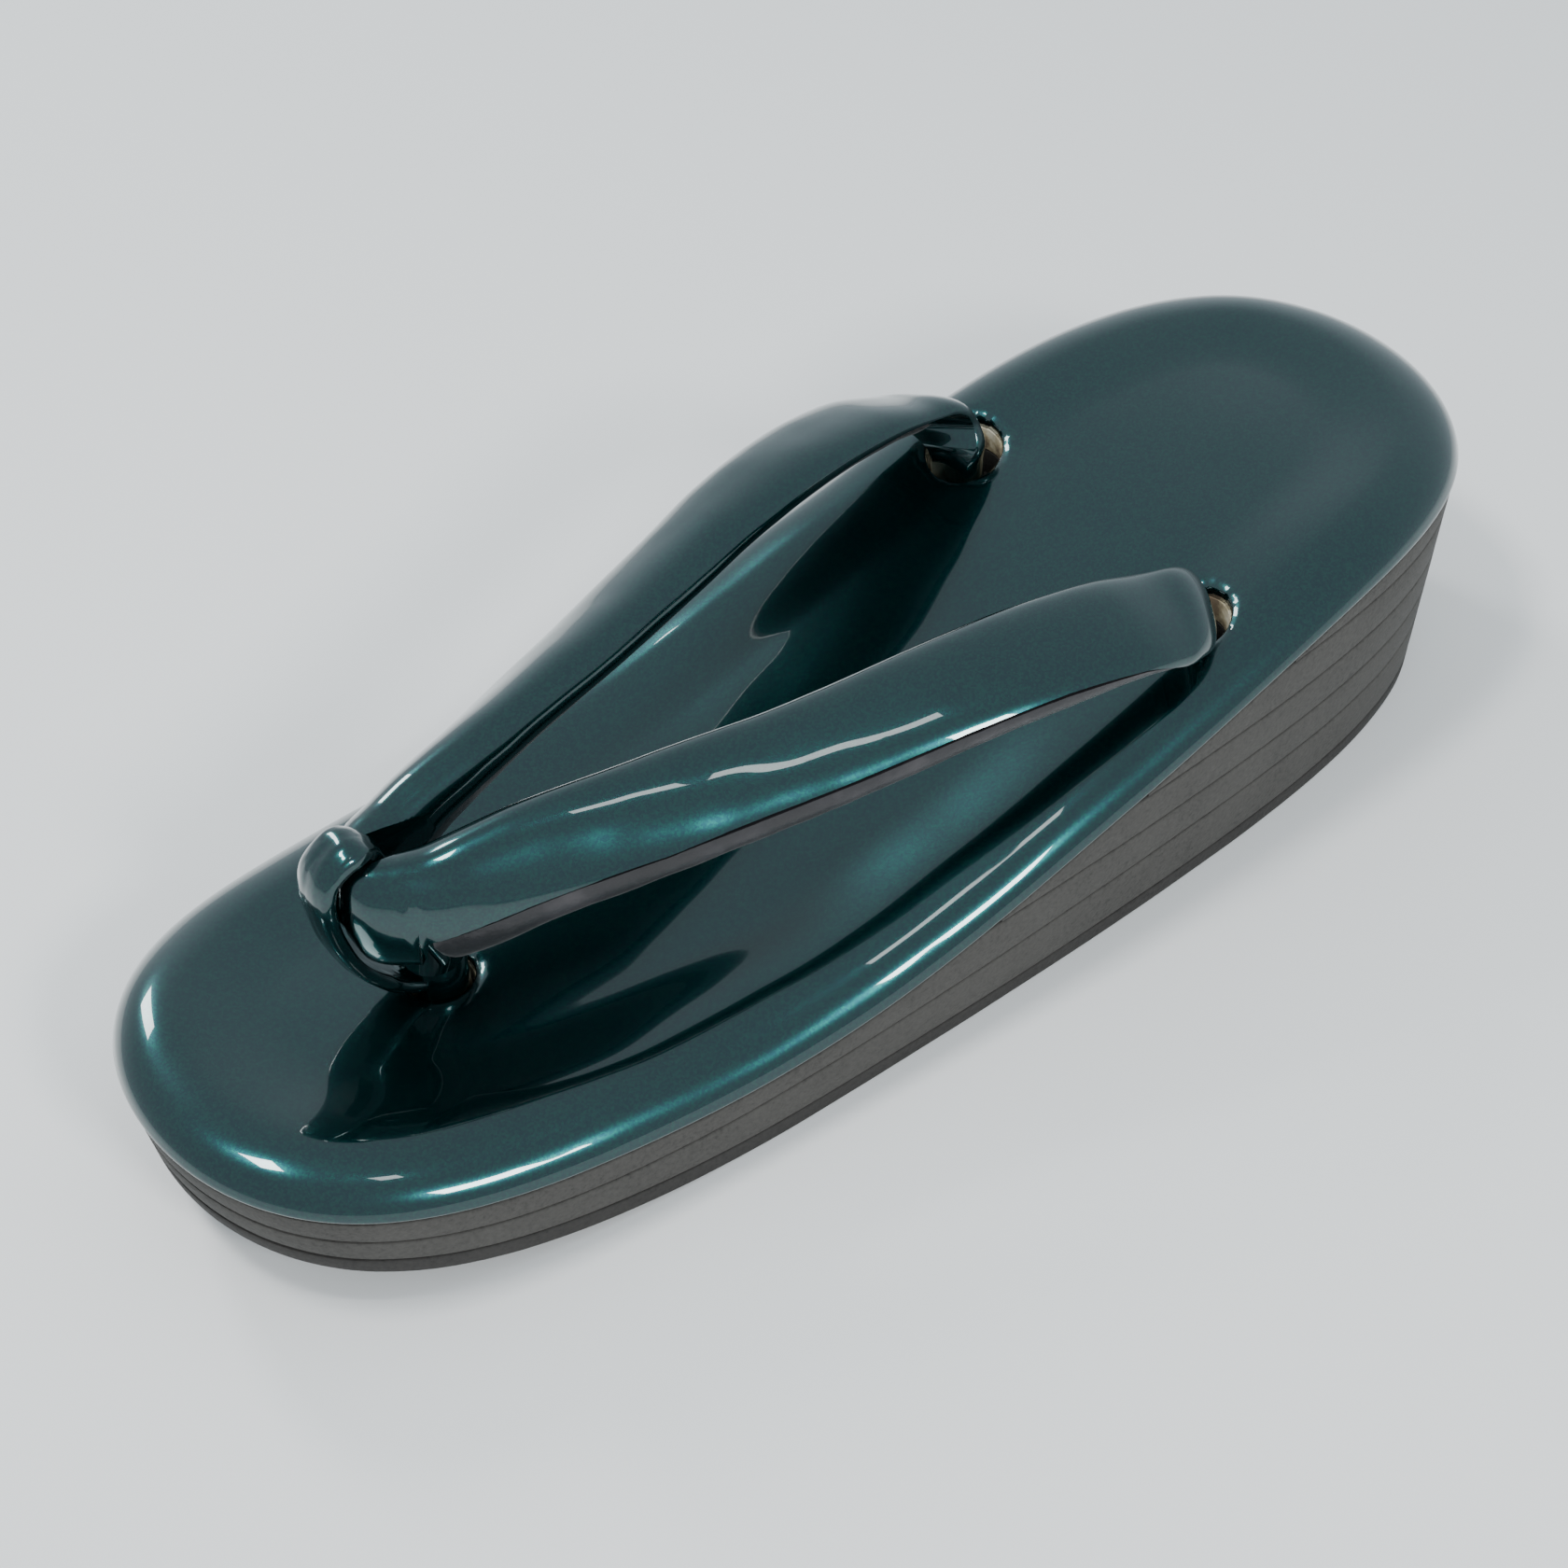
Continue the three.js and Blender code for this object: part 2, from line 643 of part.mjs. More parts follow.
addPiece('outsole', outsoleGeometry(), rubber);
seamTable.forEach((seam, i) => addPiece(seam.name, foamSheetGeometry(i), foam));
addPiece('deck_core', deckCoreGeometry(), corkFoam);
addPiece('deck_cover', deckCoverGeometry(), enamel);
addPiece('thong', thongGeometry(), enamel);
addPiece('strap_lining_right', liningGeometry(1), cloth);
addPiece('strap_lining_left', liningGeometry(-1), cloth);
addPiece('toe_loop', loopGeometry(), enamel);

export default zori;
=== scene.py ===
"""The looks of one zori: an enamelled deck and thong on a wedge of foam sheets.

Every piece is built in metres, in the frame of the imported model: the toe points to -Y, +Z is up
and the origin is on the floor under the middle of the sole.
"""

import math

import bmesh
import bpy
import numpy as np
from bpy.props import FloatProperty, FloatVectorProperty, PointerProperty, StringProperty
from mathutils import Matrix, Vector, noise


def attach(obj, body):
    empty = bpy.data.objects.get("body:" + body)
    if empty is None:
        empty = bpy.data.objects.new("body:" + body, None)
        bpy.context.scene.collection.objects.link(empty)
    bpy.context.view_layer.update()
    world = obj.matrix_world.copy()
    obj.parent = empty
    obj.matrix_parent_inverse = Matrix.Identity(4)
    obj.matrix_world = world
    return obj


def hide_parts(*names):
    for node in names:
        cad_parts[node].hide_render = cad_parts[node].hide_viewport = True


bl_info = {
    "name": "Zori",
    "version": (1, 0, 0),
    "blender": (4, 5, 0),
    "location": "View3D > Sidebar > Zori",
    "description": "Builds one enamelled zori and the studio it stands in",
    "category": "Object",
}

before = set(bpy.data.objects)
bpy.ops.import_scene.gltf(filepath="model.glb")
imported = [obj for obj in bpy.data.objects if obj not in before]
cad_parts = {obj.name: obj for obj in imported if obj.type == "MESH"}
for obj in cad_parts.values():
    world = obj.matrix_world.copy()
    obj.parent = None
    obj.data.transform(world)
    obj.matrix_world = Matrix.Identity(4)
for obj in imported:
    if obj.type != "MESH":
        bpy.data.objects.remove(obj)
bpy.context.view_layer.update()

MM = 0.001

# Sole
SOLE_LENGTH = 240.0
SOLE_WIDTH = 88.6
BALL_THICKNESS = 13.3
HEEL_THICKNESS = 42.3
TOE_LIFT = 12.4
LIFT_SHARE = 0.34
SEAM_LEVEL_SHARE = 0.7
SIDE_TUCK = 3.2
CLEARANCE = 0.3
OUTSOLE_THICKNESS = 3.0
THINNEST_SHEET = 0.4

# Deck
PAD_RISE = 7.0
PAD_RIM = 11.0
BOWL_DEPTH = 1.6
BOWL_REACH = 13.0
COVER_WALL = 1.2
COVER_TUCK = 0.8

# Holes for the thong
FRONT_HOLE = (0.0, -72.48, 5.2)
BACK_HOLE = (27.6, 49.6, 6.4)
HOLE_LIP = 0.4
POCKET_DEPTH = 3.2

# Thong
STRAP_ARCH = 27.8
STRAP_WIDTH = 19.0
STRAP_THICKNESS = 9.4
NECK_WIDTH = 10.0
NECK_THICKNESS = 6.0
NECK_SEAM = -0.8
JOINT_Y = -78.0
LOOP_HEIGHT = 33.2
LOOP_DEPTH = 25.0
LOOP_WIDTH = 8.8
LOOP_CURL = 0.9
LOOP_WALL = 2.3

# The outline's half width is a sum of sines of an angle that runs from the toe's tip to the heel.
OUTLINE_WAVES = ((1, 1.117), (2, -0.0125), (3, 0.138), (5, 0.021))

# Columns: share of the sole's length from the toe, share of the way from ball to heel thickness
WEDGE_TABLE = ((0, -0.052), (0.2, 0), (0.4, 0.078), (0.6, 0.492), (0.8, 0.892), (1, 1))

# Columns: share of the length, how far the bottom edge stands in as a share of the side's tuck
TUCK_TABLE = (
    (0, 0.4), (0.15, 0.2), (0.3, 0.25), (0.45, 0.5), (0.6, 0.63), (0.75, 0.75), (0.9, 1.05), (1, 1),
)

# Columns: name, height of the sheet's top seam at the toe and at the heel as shares of the heel
SEAM_TABLE = (
    ("foam_sheet_1", 0.18, 0.3),
    ("foam_sheet_2", 0.475, 0.475),
    ("foam_sheet_3", 0.66, 0.66),
    ("foam_sheet_4", 0.852, 0.852),
    ("foam_sheet_5", 2, 2),
)

# Columns: along from the joint's middle to the back hole, out of the back hole's distance from the
# middle, rise of the arch over the deck, tilt, skew, half width, half thickness, turn of the plane
# between enamel and lining, height of that plane as a share of the section's reach square to it
STRAP_TABLE = (
    (-0.052, 0.06, 0.76, 84, 0, 0.3, 0.35, 74, -1),
    (-0.047, 0.07, 0.76, 84, 0, 0.62, 0.58, 74, -1),
    (-0.036, 0.08, 0.765, 84, 0, 0.84, 0.8, 74, -1),
    (-0.02, 0.125, 0.772, 82, 0, 0.92, 0.96, 72, -1),
    (0.012, 0.205, 0.778, 78.5, 0, 0.95, 1.08, 68, -1),
    (0.02, 0.222, 0.78, 77.5, 0, 0.96, 1.1, 67, -0.05),
    (0.045, 0.268, 0.79, 74, 0, 0.97, 1.14, 64, 0),
    (0.092, 0.345, 0.857, 64, 0, 0.96, 1.14, 54, 0.02),
    (0.154, 0.417, 0.924, 55, 0, 0.95, 1.12, 44, 0.05),
    (0.271, 0.572, 0.992, 39, 0, 0.94, 1.06, 31, 0.08),
    (0.389, 0.714, 1, 28, 0, 0.94, 1, 23, 0.12),
    (0.505, 0.855, 0.968, 20, 0, 0.95, 0.94, 17, 0.15),
    (0.622, 0.985, 0.908, 15, 0, 0.97, 0.88, 12, 0.17),
    (0.74, 1.09, 0.79, 13.5, 4, 0.99, 0.8, 9, 0.17),
    (0.85, 1.16, 0.622, 14, 10, 0.96, 0.7, 5, 0.12),
    (0.925, 1.19, 0.432, 15, 18, 0.9, 0.6, 0, 0),
)

# Columns: along, out, drop from the fold to the end of the neck, lean, tilt, skew, narrowing
NECK_TABLE = (
    (0.953, 1.186, 0.055, 20, 15, 24, 0.1),
    (0.97, 1.168, 0.13, 48, 15, 27, 0.2),
    (0.981, 1.125, 0.25, 72, 14, 28, 0.4),
    (0.986, 1.022, 0.38, 84, 9, 26, 0.78),
    (0.988, 1.008, 0.53, 88, 3, 20, 1),
    (0.988, 1.002, 0.75, 90, 0, 14, 1),
    (0.988, 1, 1, 90, 0, 12, 1),
)

LINING_START = 0.026
LINING_END = 0.915

# Columns: along as a share of the loop's depth behind the joint's middle, rise, half width
LOOP_TABLE = (
    (0.12, 0.02, 0.75),
    (-0.06, 0.11, 0.8),
    (-0.19, 0.24, 0.9),
    (-0.3, 0.39, 0.97),
    (-0.37, 0.58, 1),
    (-0.385, 0.79, 1),
    (-0.33, 0.93, 1),
    (-0.2, 1, 1),
    (-0.09, 0.995, 0.9),
    (0, 0.91, 0.5),
    (0.04, 0.74, 0.5),
    (0.1, 0.5, 0.5),
    (0.18, 0.28, 0.6),
    (0.25, 0.08, 0.75),
)

# The straps part behind the joint, where the loop goes down between them.
PARTING_PLACE = 0.12
PARTING_LEAN = 12.0
PARTING_DEPTH = 12.0

LINING_INSET = 0.5
SECTION_POWER = 2 / 2.3

# Fineness and softness of the shapes, in millimetres where not said otherwise
SHEET_EDGE = 0.35
SHEET_WAVE = 0.06
LIP_RISE = 0.9
DECK_WAVE = 0.22
HOLE_SINK = 0.5
HOLE_SINK_REACH = 1.6
RIM_STEPS = ((0.22, 0.3), (0.08, 0.5), (0, 1.2))
SKIN_MARGIN = 0.3
RIM_GATHER = 0.25
RIM_REACH = 2.5
STRAP_CREASE = 0.25
LINING_PUCKER = 0.3
LINING_TIP = 3.0
STEM_SHARE = 0.12
CRUMPLE_DEPTH = 0.45
CRUMPLE_SIZE = 7.0
SECTION_TRIALS = 400
CREASE_DEGREES = 50
LINING_CREASE_DEGREES = 60
BAND_CREASE_DEGREES = 70

# Columns: end of the edge's profile (-1 below, 1 above), inset and height as shares of the rounding
SHEET_PROFILE = (
    (-1, 1.0, 1.0), (-1, 0.3, 0.7), (-1, 0, 0.0), (0, 0, 0.0), (1, 0, 0.0), (1, 0.3, 0.7), (1, 1.0, 1.0),
)

# Columns: name, place, target, width and height in millimetres, power in watts
LAMPS = (
    ("toe_softbox", (-60, -235, 700), (0, -110, 20), (150, 110), 2.6),
    ("overhead_softbox", (190, -15, 710), (30, 0, 40), (60, 60), 0.12),
    ("side_softbox", (735, -20, 545), (10, -50, 40), (150, 150), 4.5),
    ("far_strip", (-900, -80, 640), (0, -50, 40), (160, 300), 4.0),
)
FLOOR_REACH = 3000.0
ROOM_TINT = (0.8, 0.92, 1.0, 1.0)

# Camera, in millimetres, fitted to the photograph
CAMERA_EYE = (224.965, -153.112, 296.592)
CAMERA_RIGHT = (0.58853492, 0.80667899, -0.05381139)
CAMERA_UP = (-0.53528321, 0.43868161, 0.72182431)
CAMERA_BACK = (0.60588657, -0.39601447, 0.68998116)
CAMERA_LENS = 55.71
CAMERA_SHIFT = (-0.0066, -0.066)


# Shape rules shared by all pieces


def smooth_table(rows, column, at):
    """A smooth curve through one column of a table, read at positions in its first column."""
    table = np.array(rows, float)
    x, y = table[:, 0], table[:, column]
    slope = np.empty(len(x))
    slope[1:-1] = (y[2:] - y[:-2]) / (x[2:] - x[:-2])
    slope[0] = (y[1] - y[0]) / (x[1] - x[0])
    slope[-1] = (y[-1] - y[-2]) / (x[-1] - x[-2])
    at = np.clip(at, x[0], x[-1])
    i = np.clip(np.searchsorted(x, at, side="right") - 1, 0, len(x) - 2)
    span = x[i + 1] - x[i]
    t = (at - x[i]) / span
    return (
        (2 * t**3 - 3 * t**2 + 1) * y[i]
        + (t**3 - 2 * t**2 + t) * span * slope[i]
        + (3 * t**2 - 2 * t**3) * y[i + 1]
        + (t**3 - t**2) * span * slope[i + 1]
    )


def smoothstep(value, low, high):
    t = np.clip((value - low) / (high - low), 0, 1)
    return t * t * (3 - 2 * t)


def share_of(y):
    return np.clip(y / SOLE_LENGTH + 0.5, 0, 1)


def bottom_at(y):
    return TOE_LIFT * (np.maximum(LIFT_SHARE - share_of(y), 0) / LIFT_SHARE) ** 2


def thickness_at(y):
    return BALL_THICKNESS + (HEEL_THICKNESS - BALL_THICKNESS) * smooth_table(WEDGE_TABLE, 1, share_of(y))


def seat_at(y):
    return bottom_at(y) + thickness_at(y)


def deck_at(y):
    return seat_at(y) + CLEARANCE + PAD_RISE - BOWL_DEPTH


def seam_at(toe, heel, y):
    way = smoothstep(share_of(y), 0, SEAM_LEVEL_SHARE)
    return bottom_at(y) + HEEL_THICKNESS * (toe + (heel - toe) * way)


def outline_point(angle, inset):
    """Points of the right half of the outline, moved in square to it. Angle 0 is the toe's tip."""
    angle = np.asarray(angle, float)
    half = SOLE_WIDTH / 2
    x = half * sum(share * np.sin(order * angle) for order, share in OUTLINE_WAVES)
    dx = half * sum(share * order * np.cos(order * angle) for order, share in OUTLINE_WAVES)
    dy = np.sin(angle) * SOLE_LENGTH / 2
    length = np.hypot(dx, dy)
    return x - dy / length * inset, -np.cos(angle) * SOLE_LENGTH / 2 + dx / length * inset


def pad_height(inset, rim, rise):
    """Height of the deck's top over the seam with the sole."""
    t = np.clip(inset / rim, 0, 1)
    sink = smoothstep(inset, PAD_RIM * 0.8, PAD_RIM + BOWL_REACH)
    return rise * np.sqrt(1 - (1 - t) ** 2) - BOWL_DEPTH * sink


def rounded(value):
    return np.sign(value) * np.abs(value) ** SECTION_POWER


# Mesh helpers


def new_piece(name, points, faces, smooth=True):
    """A mesh object from points in millimetres."""
    mesh = bpy.data.meshes.new(name)
    mesh.from_pydata((np.asarray(points, float) * MM).tolist(), [], [list(map(int, f)) for f in faces])
    mesh.validate()
    piece = bpy.data.objects.new(name, mesh)
    bpy.context.scene.collection.objects.link(piece)
    if smooth:
        mesh.shade_smooth()
    return piece


def grid_faces(rows, columns, wrap_rows=False, wrap_columns=False, offset=0):
    """Quads between the points of a grid, which is stored row by row."""
    r = np.arange(rows if wrap_rows else rows - 1)
    c = np.arange(columns if wrap_columns else columns - 1)
    r, c = [a.ravel() for a in np.meshgrid(r, c, indexing="ij")]
    r2, c2 = (r + 1) % rows, (c + 1) % columns
    return np.stack([r * columns + c, r * columns + c2, r2 * columns + c2, r2 * columns + c], 1) + offset


def recalculate_outward(piece):
    bm = bmesh.new()
    bm.from_mesh(piece.data)
    bmesh.ops.recalc_face_normals(bm, faces=bm.faces)
    bm.to_mesh(piece.data)
    bm.free()


def bake_modifiers(piece):
    """Turns a piece with its modifiers into a plain mesh."""
    bpy.context.view_layer.update()
    depsgraph = bpy.context.evaluated_depsgraph_get()
    mesh = bpy.data.meshes.new_from_object(piece.evaluated_get(depsgraph))
    piece.modifiers.clear()
    piece.data = mesh


def cut(piece, cutters, operation="DIFFERENCE"):
    for cutter in cutters:
        modifier = piece.modifiers.new("cut", "BOOLEAN")
        modifier.operation = operation
        modifier.solver = "EXACT"
        modifier.object = cutter
        bake_modifiers(piece)
        bpy.data.objects.remove(cutter)


def cylinder(x, y, radius, low, high, sides=72):
    bm = bmesh.new()
    place = Matrix.Translation(Vector((x, y, (low + high) / 2)) * MM)
    bmesh.ops.create_cone(
        bm, cap_ends=True, segments=sides, radius1=radius * MM, radius2=radius * MM,
        depth=(high - low) * MM, matrix=place,
    )
    mesh = bpy.data.meshes.new("cutter")
    bm.to_mesh(mesh)
    bm.free()
    cutter = bpy.data.objects.new("cutter", mesh)
    bpy.context.scene.collection.objects.link(cutter)
    return cutter


def hole_places():
    x, y, radius = BACK_HOLE
    return [FRONT_HOLE, (x, y, radius), (-x, y, radius)]


def hole_cutters(growth=0.0):
    return [
        cylinder(x, y, radius + growth, seat_at(y) - POCKET_DEPTH, seat_at(y) + 3 * PAD_RISE)
        for x, y, radius in hole_places()
    ]


def finish_piece(piece, nodes, material):
    piece.data.materials.clear()
    piece.data.materials.append(material)
    piece.data.polygons.foreach_set("material_index", np.zeros(len(piece.data.polygons), int))
    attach(piece, "root")
    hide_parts(*nodes)


# Materials


def srgb(code):
    """Linear colour of an sRGB hex code."""
    channels = [int(code[i : i + 2], 16) / 255 for i in (1, 3, 5)]
    return tuple(c / 12.92 if c <= 0.04045 else ((c + 0.055) / 1.055) ** 2.4 for c in channels) + (1.0,)


def add_node(tree, kind, settings=None, **links):
    """Adds one node. Settings are its properties, and links give its inputs a value or a socket."""
    node = tree.nodes.new(kind)
    for key, value in (settings or {}).items():
        setattr(node, key, value)
    for name, value in links.items():
        key = name.replace("_", " ")
        socket = node.inputs[int(key[1:])] if key[0] == "i" and key[1:].isdigit() else node.inputs[key]
        if isinstance(value, bpy.types.NodeSocket):
            tree.links.new(value, socket)
        else:
            socket.default_value = value
    return node


def new_material(name):
    material = bpy.data.materials.new(name)
    material.use_nodes = True
    tree = material.node_tree
    tree.nodes.clear()
    coordinates = add_node(tree, "ShaderNodeTexCoord").outputs["Object"]
    return material, tree, coordinates


def close_material(tree, shader):
    output = add_node(tree, "ShaderNodeOutputMaterial")
    tree.links.new(shader, output.inputs["Surface"])


def ramp(tree, factor, stops):
    """A colour ramp with (position, colour) stops."""
    node = add_node(tree, "ShaderNodeValToRGB", Fac=factor)
    elements = node.color_ramp.elements
    while len(elements) < len(stops):
        elements.new(0.5)
    for element, (position, colour) in zip(elements, stops):
        element.position = position
        element.color = colour
    return node.outputs["Color"]


def bump(tree, height, strength, distance_mm, normal=None):
    links = {"Height": height, "Strength": strength, "Distance": distance_mm * MM}
    if normal is not None:
        links["Normal"] = normal
    return add_node(tree, "ShaderNodeBump", **links).outputs["Normal"]


def noise_texture(tree, vector, size_mm, detail=2.0, roughness=0.5, distortion=0.0):
    """Noise whose blotches are about size_mm across."""
    node = add_node(
        tree, "ShaderNodeTexNoise", Vector=vector, Scale=1 / (size_mm * MM), Detail=detail,
        Roughness=roughness, Distortion=distortion,
    )
    return node.outputs["Fac"]


def metallic_enamel(settings, name, wave_mm, wave_depth):
    """Enamelled leather: dark pigment with fine metal flake, sealed under a thick clear varnish.
    The varnish gives the mirror reflections, and the flake glows green around the highlights."""
    material, tree, place = new_material(name)
    flake = add_node(tree, "ShaderNodeTexVoronoi", {"feature": "F1"}, Vector=place, Scale=1 / (0.3 * MM))
    sparkle = add_node(
        tree, "ShaderNodeMix", {"data_type": "RGBA"},
        Factor=ramp(tree, flake.outputs["Color"], [(0.3, (0, 0, 0, 1)), (0.9, (1, 1, 1, 1))]),
        i6=tuple(settings.enamel_colour) + (1.0,), i7=tuple(settings.flake_colour) + (1.0,),
    )
    dents = bump(tree, noise_texture(tree, place, wave_mm, 1.0, 0.4), 1.0, wave_depth)
    pits = bump(tree, noise_texture(tree, place, 1.1, 3.0, 0.6), 0.1, 0.02, dents)
    shader = add_node(
        tree, "ShaderNodeBsdfPrincipled",
        Base_Color=sparkle.outputs[2], Metallic=0.9, Roughness=settings.flake_roughness,
        Coat_Weight=1.0, Coat_Roughness=0.025, Coat_IOR=1.52, Coat_Normal=dents, Normal=pits,
    )
    close_material(tree, shader.outputs["BSDF"])
    return material


def sponge_foam(settings, name, shade, cell_mm=0.6):
    """Cut edge of a closed-cell sponge sheet: matt charcoal, with a fine grain of dark cells."""
    material, tree, place = new_material(name)
    cells = add_node(tree, "ShaderNodeTexVoronoi", {"feature": "F1"}, Vector=place, Scale=1 / (cell_mm * MM))
    grain = noise_texture(tree, place, 0.8, 4.0, 0.7)
    cloud = noise_texture(tree, place, 14.0, 2.0, 0.5)
    tone = add_node(tree, "ShaderNodeMath", {"operation": "MULTIPLY_ADD"}, i0=cloud, i1=0.35, i2=grain)
    base = srgb(shade)
    dark = tuple(c * 0.55 for c in base[:3]) + (1.0,)
    light = tuple(c * 1.35 for c in base[:3]) + (1.0,)
    colour = ramp(tree, tone.outputs[0], [(0.42, dark), (0.62, base), (0.95, light)])
    surface = bump(tree, cells.outputs["Distance"], 0.5, 0.12)
    surface = bump(tree, grain, 0.35, 0.1, surface)
    shader = add_node(
        tree, "ShaderNodeBsdfPrincipled", Base_Color=colour, Roughness=0.78, Normal=surface,
        Specular_IOR_Level=0.35,
    )
    close_material(tree, shader.outputs["BSDF"])
    return material


def cream_core(settings, name):
    """The pale core in the walls of the holes: cream and fibrous, with brown blotches of painted shade that
    stand in for the dark inside of the holes.
    """
    material, tree, place = new_material(name)
    painted_shade_blotch = noise_texture(tree, place, 5.0, 4.0, 0.65)
    fibre = noise_texture(tree, place, 0.7, 4.0, 0.7)
    # The brown low stop is painted shade for the dark inside of the holes, laid on as random blotches; the
    # paler stops are the core's own cream.
    colour = ramp(tree, painted_shade_blotch, [(0.38, srgb("#7a6a55")), (0.48, srgb("#b5a887")), (0.58, srgb("#d8d1b9"))])
    shader = add_node(
        tree, "ShaderNodeBsdfPrincipled", Base_Color=colour, Roughness=0.85,
        Normal=bump(tree, fibre, 0.6, 0.15),
    )
    close_material(tree, shader.outputs["BSDF"])
    return material


def coated_lining(settings, name):
    """Thin coated cloth under the straps: charcoal, faintly glossy, with soft puckers and blotches."""
    material, tree, place = new_material(name)
    blotch = noise_texture(tree, place, 9.0, 3.0, 0.6)
    pucker = noise_texture(tree, place, 3.5, 3.0, 0.55)
    weave = noise_texture(tree, place, 0.5, 2.0, 0.5)
    colour = ramp(tree, blotch, [(0.35, srgb("#100f12")), (0.55, srgb("#1c1a1e")), (0.7, srgb("#343134"))])
    surface = bump(tree, pucker, 0.6, 0.5)
    surface = bump(tree, weave, 0.3, 0.05, surface)
    shader = add_node(
        tree, "ShaderNodeBsdfPrincipled", Base_Color=colour, Roughness=0.38, Normal=surface,
        Sheen_Weight=0.1, Sheen_Roughness=0.5,
    )
    close_material(tree, shader.outputs["BSDF"])
    return material


# Sole


def sheet_piece(name, low_at, high_at, rows=200):
    """A sheet of the sole between two heights that depend on the length alone."""

    def thick_at(angle):
        y = outline_point(angle, 0)[1]
        return high_at(y) - low_at(y)

    angles = math.pi * (np.arange(rows) + 0.5) / rows
    first = int(np.argmax(thick_at(angles) > THINNEST_SHEET))
    if first > 0:
        thin, thick = angles[first - 1], angles[first]
        for _ in range(20):
            middle = (thin + thick) / 2
            thin, thick = (thin, middle) if thick_at(middle) > THINNEST_SHEET else (middle, thick)
        angles = np.concatenate([[thick], angles[first:]])
    y0 = outline_point(angles, 0)[1]
    low, high = low_at(y0), high_at(y0)
    edge = np.minimum(SHEET_EDGE, (high - low) / 2.2)
    tuck = SIDE_TUCK * smooth_table(TUCK_TABLE, 1, share_of(y0))
    side = []
    for end, inward, toward in SHEET_PROFILE:
        middle = (low + high) / 2
        target = low if end < 0 else high
        z = middle if end == 0 else target - end * edge * (1 - toward)
        level = (z - bottom_at(y0)) / thickness_at(y0)
        inset = tuck + (CLEARANCE - tuck) * level
        seeds = [Vector((angle * 9.0, height * 0.21, 7.7 + len(name))) for angle, height in zip(angles, z)]
        wave = np.array([noise.noise(seed) for seed in seeds])
        x, y = outline_point(angles, inset + inward * edge + SHEET_WAVE * wave)
        side.append(np.stack([x, y, z + (seat_at(y) - seat_at(y0)) * (end > 0)], 1))
    right = np.stack(side, 1)
    left = right[:, ::-1] * (-1, 1, 1)
    points = np.concatenate([right, left], 1)
    count, width = points.shape[:2]
    faces = [tuple(f) for f in grid_faces(count, width, wrap_columns=True)]
    for base in (0, (count - 1) * width):
        for i in range(width // 2 - 1):
            faces.append((base + i, base + width - 1 - i, base + width - 2 - i, base + i + 1))
    piece = new_piece(name, points.reshape(-1, 3), faces)
    recalculate_outward(piece)
    return piece


def build_sole(settings):
    rubber = sponge_foam(settings, "sponge_rubber_outsole", settings.outsole_shade, 0.8)
    foam = sponge_foam(settings, "cut_sponge_sheet", settings.foam_shade)
    outsole = sheet_piece("outsole_sheet", bottom_at, lambda y: bottom_at(y) + OUTSOLE_THICKNESS)
    outsole.data.set_sharp_from_angle(angle=math.radians(CREASE_DEGREES))
    finish_piece(outsole, ["outsole"], rubber)
    below = None
    for name, toe, heel in SEAM_TABLE:
        if below is None:
            def low_at(y):
                return bottom_at(y) + OUTSOLE_THICKNESS + CLEARANCE
        else:
            def low_at(y, below=below):
                return seam_at(*below, y) + CLEARANCE / 2

        def high_at(y, toe=toe, heel=heel):
            return np.minimum(seam_at(toe, heel, y) - CLEARANCE / 2, seat_at(y))

        sheet = sheet_piece(name.replace("foam", "sponge"), low_at, high_at)
        cut(sheet, hole_cutters())
        sheet.data.shade_smooth()
        sheet.data.set_sharp_from_angle(angle=math.radians(CREASE_DEGREES))
        finish_piece(sheet, [name], foam)
        below = (toe, heel)


# Deck


def outline_ring(inset, over, count):
    angle = 2 * math.pi * (np.arange(count) + 0.5) / count
    side = np.where(angle > math.pi, -1, 1)
    x, y = outline_point(np.where(angle > math.pi, 2 * math.pi - angle, angle), inset)
    return np.stack([side * x, y, seat_at(y) + over], 1)


def ring_sheet(rings, columns):
    """Points and faces of nested rings, closed in the middle by rows across the deck."""
    count = len(rings[0])
    points = list(np.concatenate(rings))
    faces = [tuple(f) for f in grid_faces(len(rings), count, wrap_columns=True)]
    base = (len(rings) - 1) * count
    half = count // 2
    inner = rings[-1]
    across = np.empty((half, columns + 1), int)
    across[:, 0] = base + np.arange(half)
    across[:, -1] = base + count - 1 - np.arange(half)
    for j in range(1, columns):
        share = j / columns
        across[:, j] = len(points) + np.arange(half)
        points.extend(inner[:half] * (1 - share) + inner[count - 1 - np.arange(half)] * share)
    for k in range(half - 1):
        for j in range(columns):
            faces.append((across[k, j], across[k + 1, j], across[k + 1, j + 1], across[k, j + 1]))
    for row in (0, half - 1):
        if columns > 1:
            strip = [int(across[row, j]) for j in range(columns + 1)]
            faces.append(tuple(strip if row else strip[::-1]))
    return np.array(points), faces


def deck_surface():
    """The deck's top with its rolled edge, from the lip under the edge to the middle."""
    count, columns = 640, 44
    rings = [outline_ring(COVER_WALL + COVER_TUCK, CLEARANCE, count)]
    for a in np.linspace(0, math.pi / 2, 6):
        rings.append(
            outline_ring(COVER_TUCK * (1 - math.sin(a)), CLEARANCE + LIP_RISE * (1 - math.cos(a)), count)
        )
    start = math.asin(LIP_RISE / PAD_RISE)
    for a in np.linspace(start, math.pi / 2, 22)[1:]:
        inset = PAD_RIM * (1 - math.cos(a))
        rings.append(outline_ring(inset, CLEARANCE + pad_height(inset, PAD_RIM, PAD_RISE), count))
    for share in np.linspace(0, 1, 17)[1:]:
        inset = PAD_RIM + BOWL_REACH * share
        rings.append(outline_ring(inset, CLEARANCE + pad_height(inset, PAD_RIM, PAD_RISE), count))
    return ring_sheet(rings, columns)


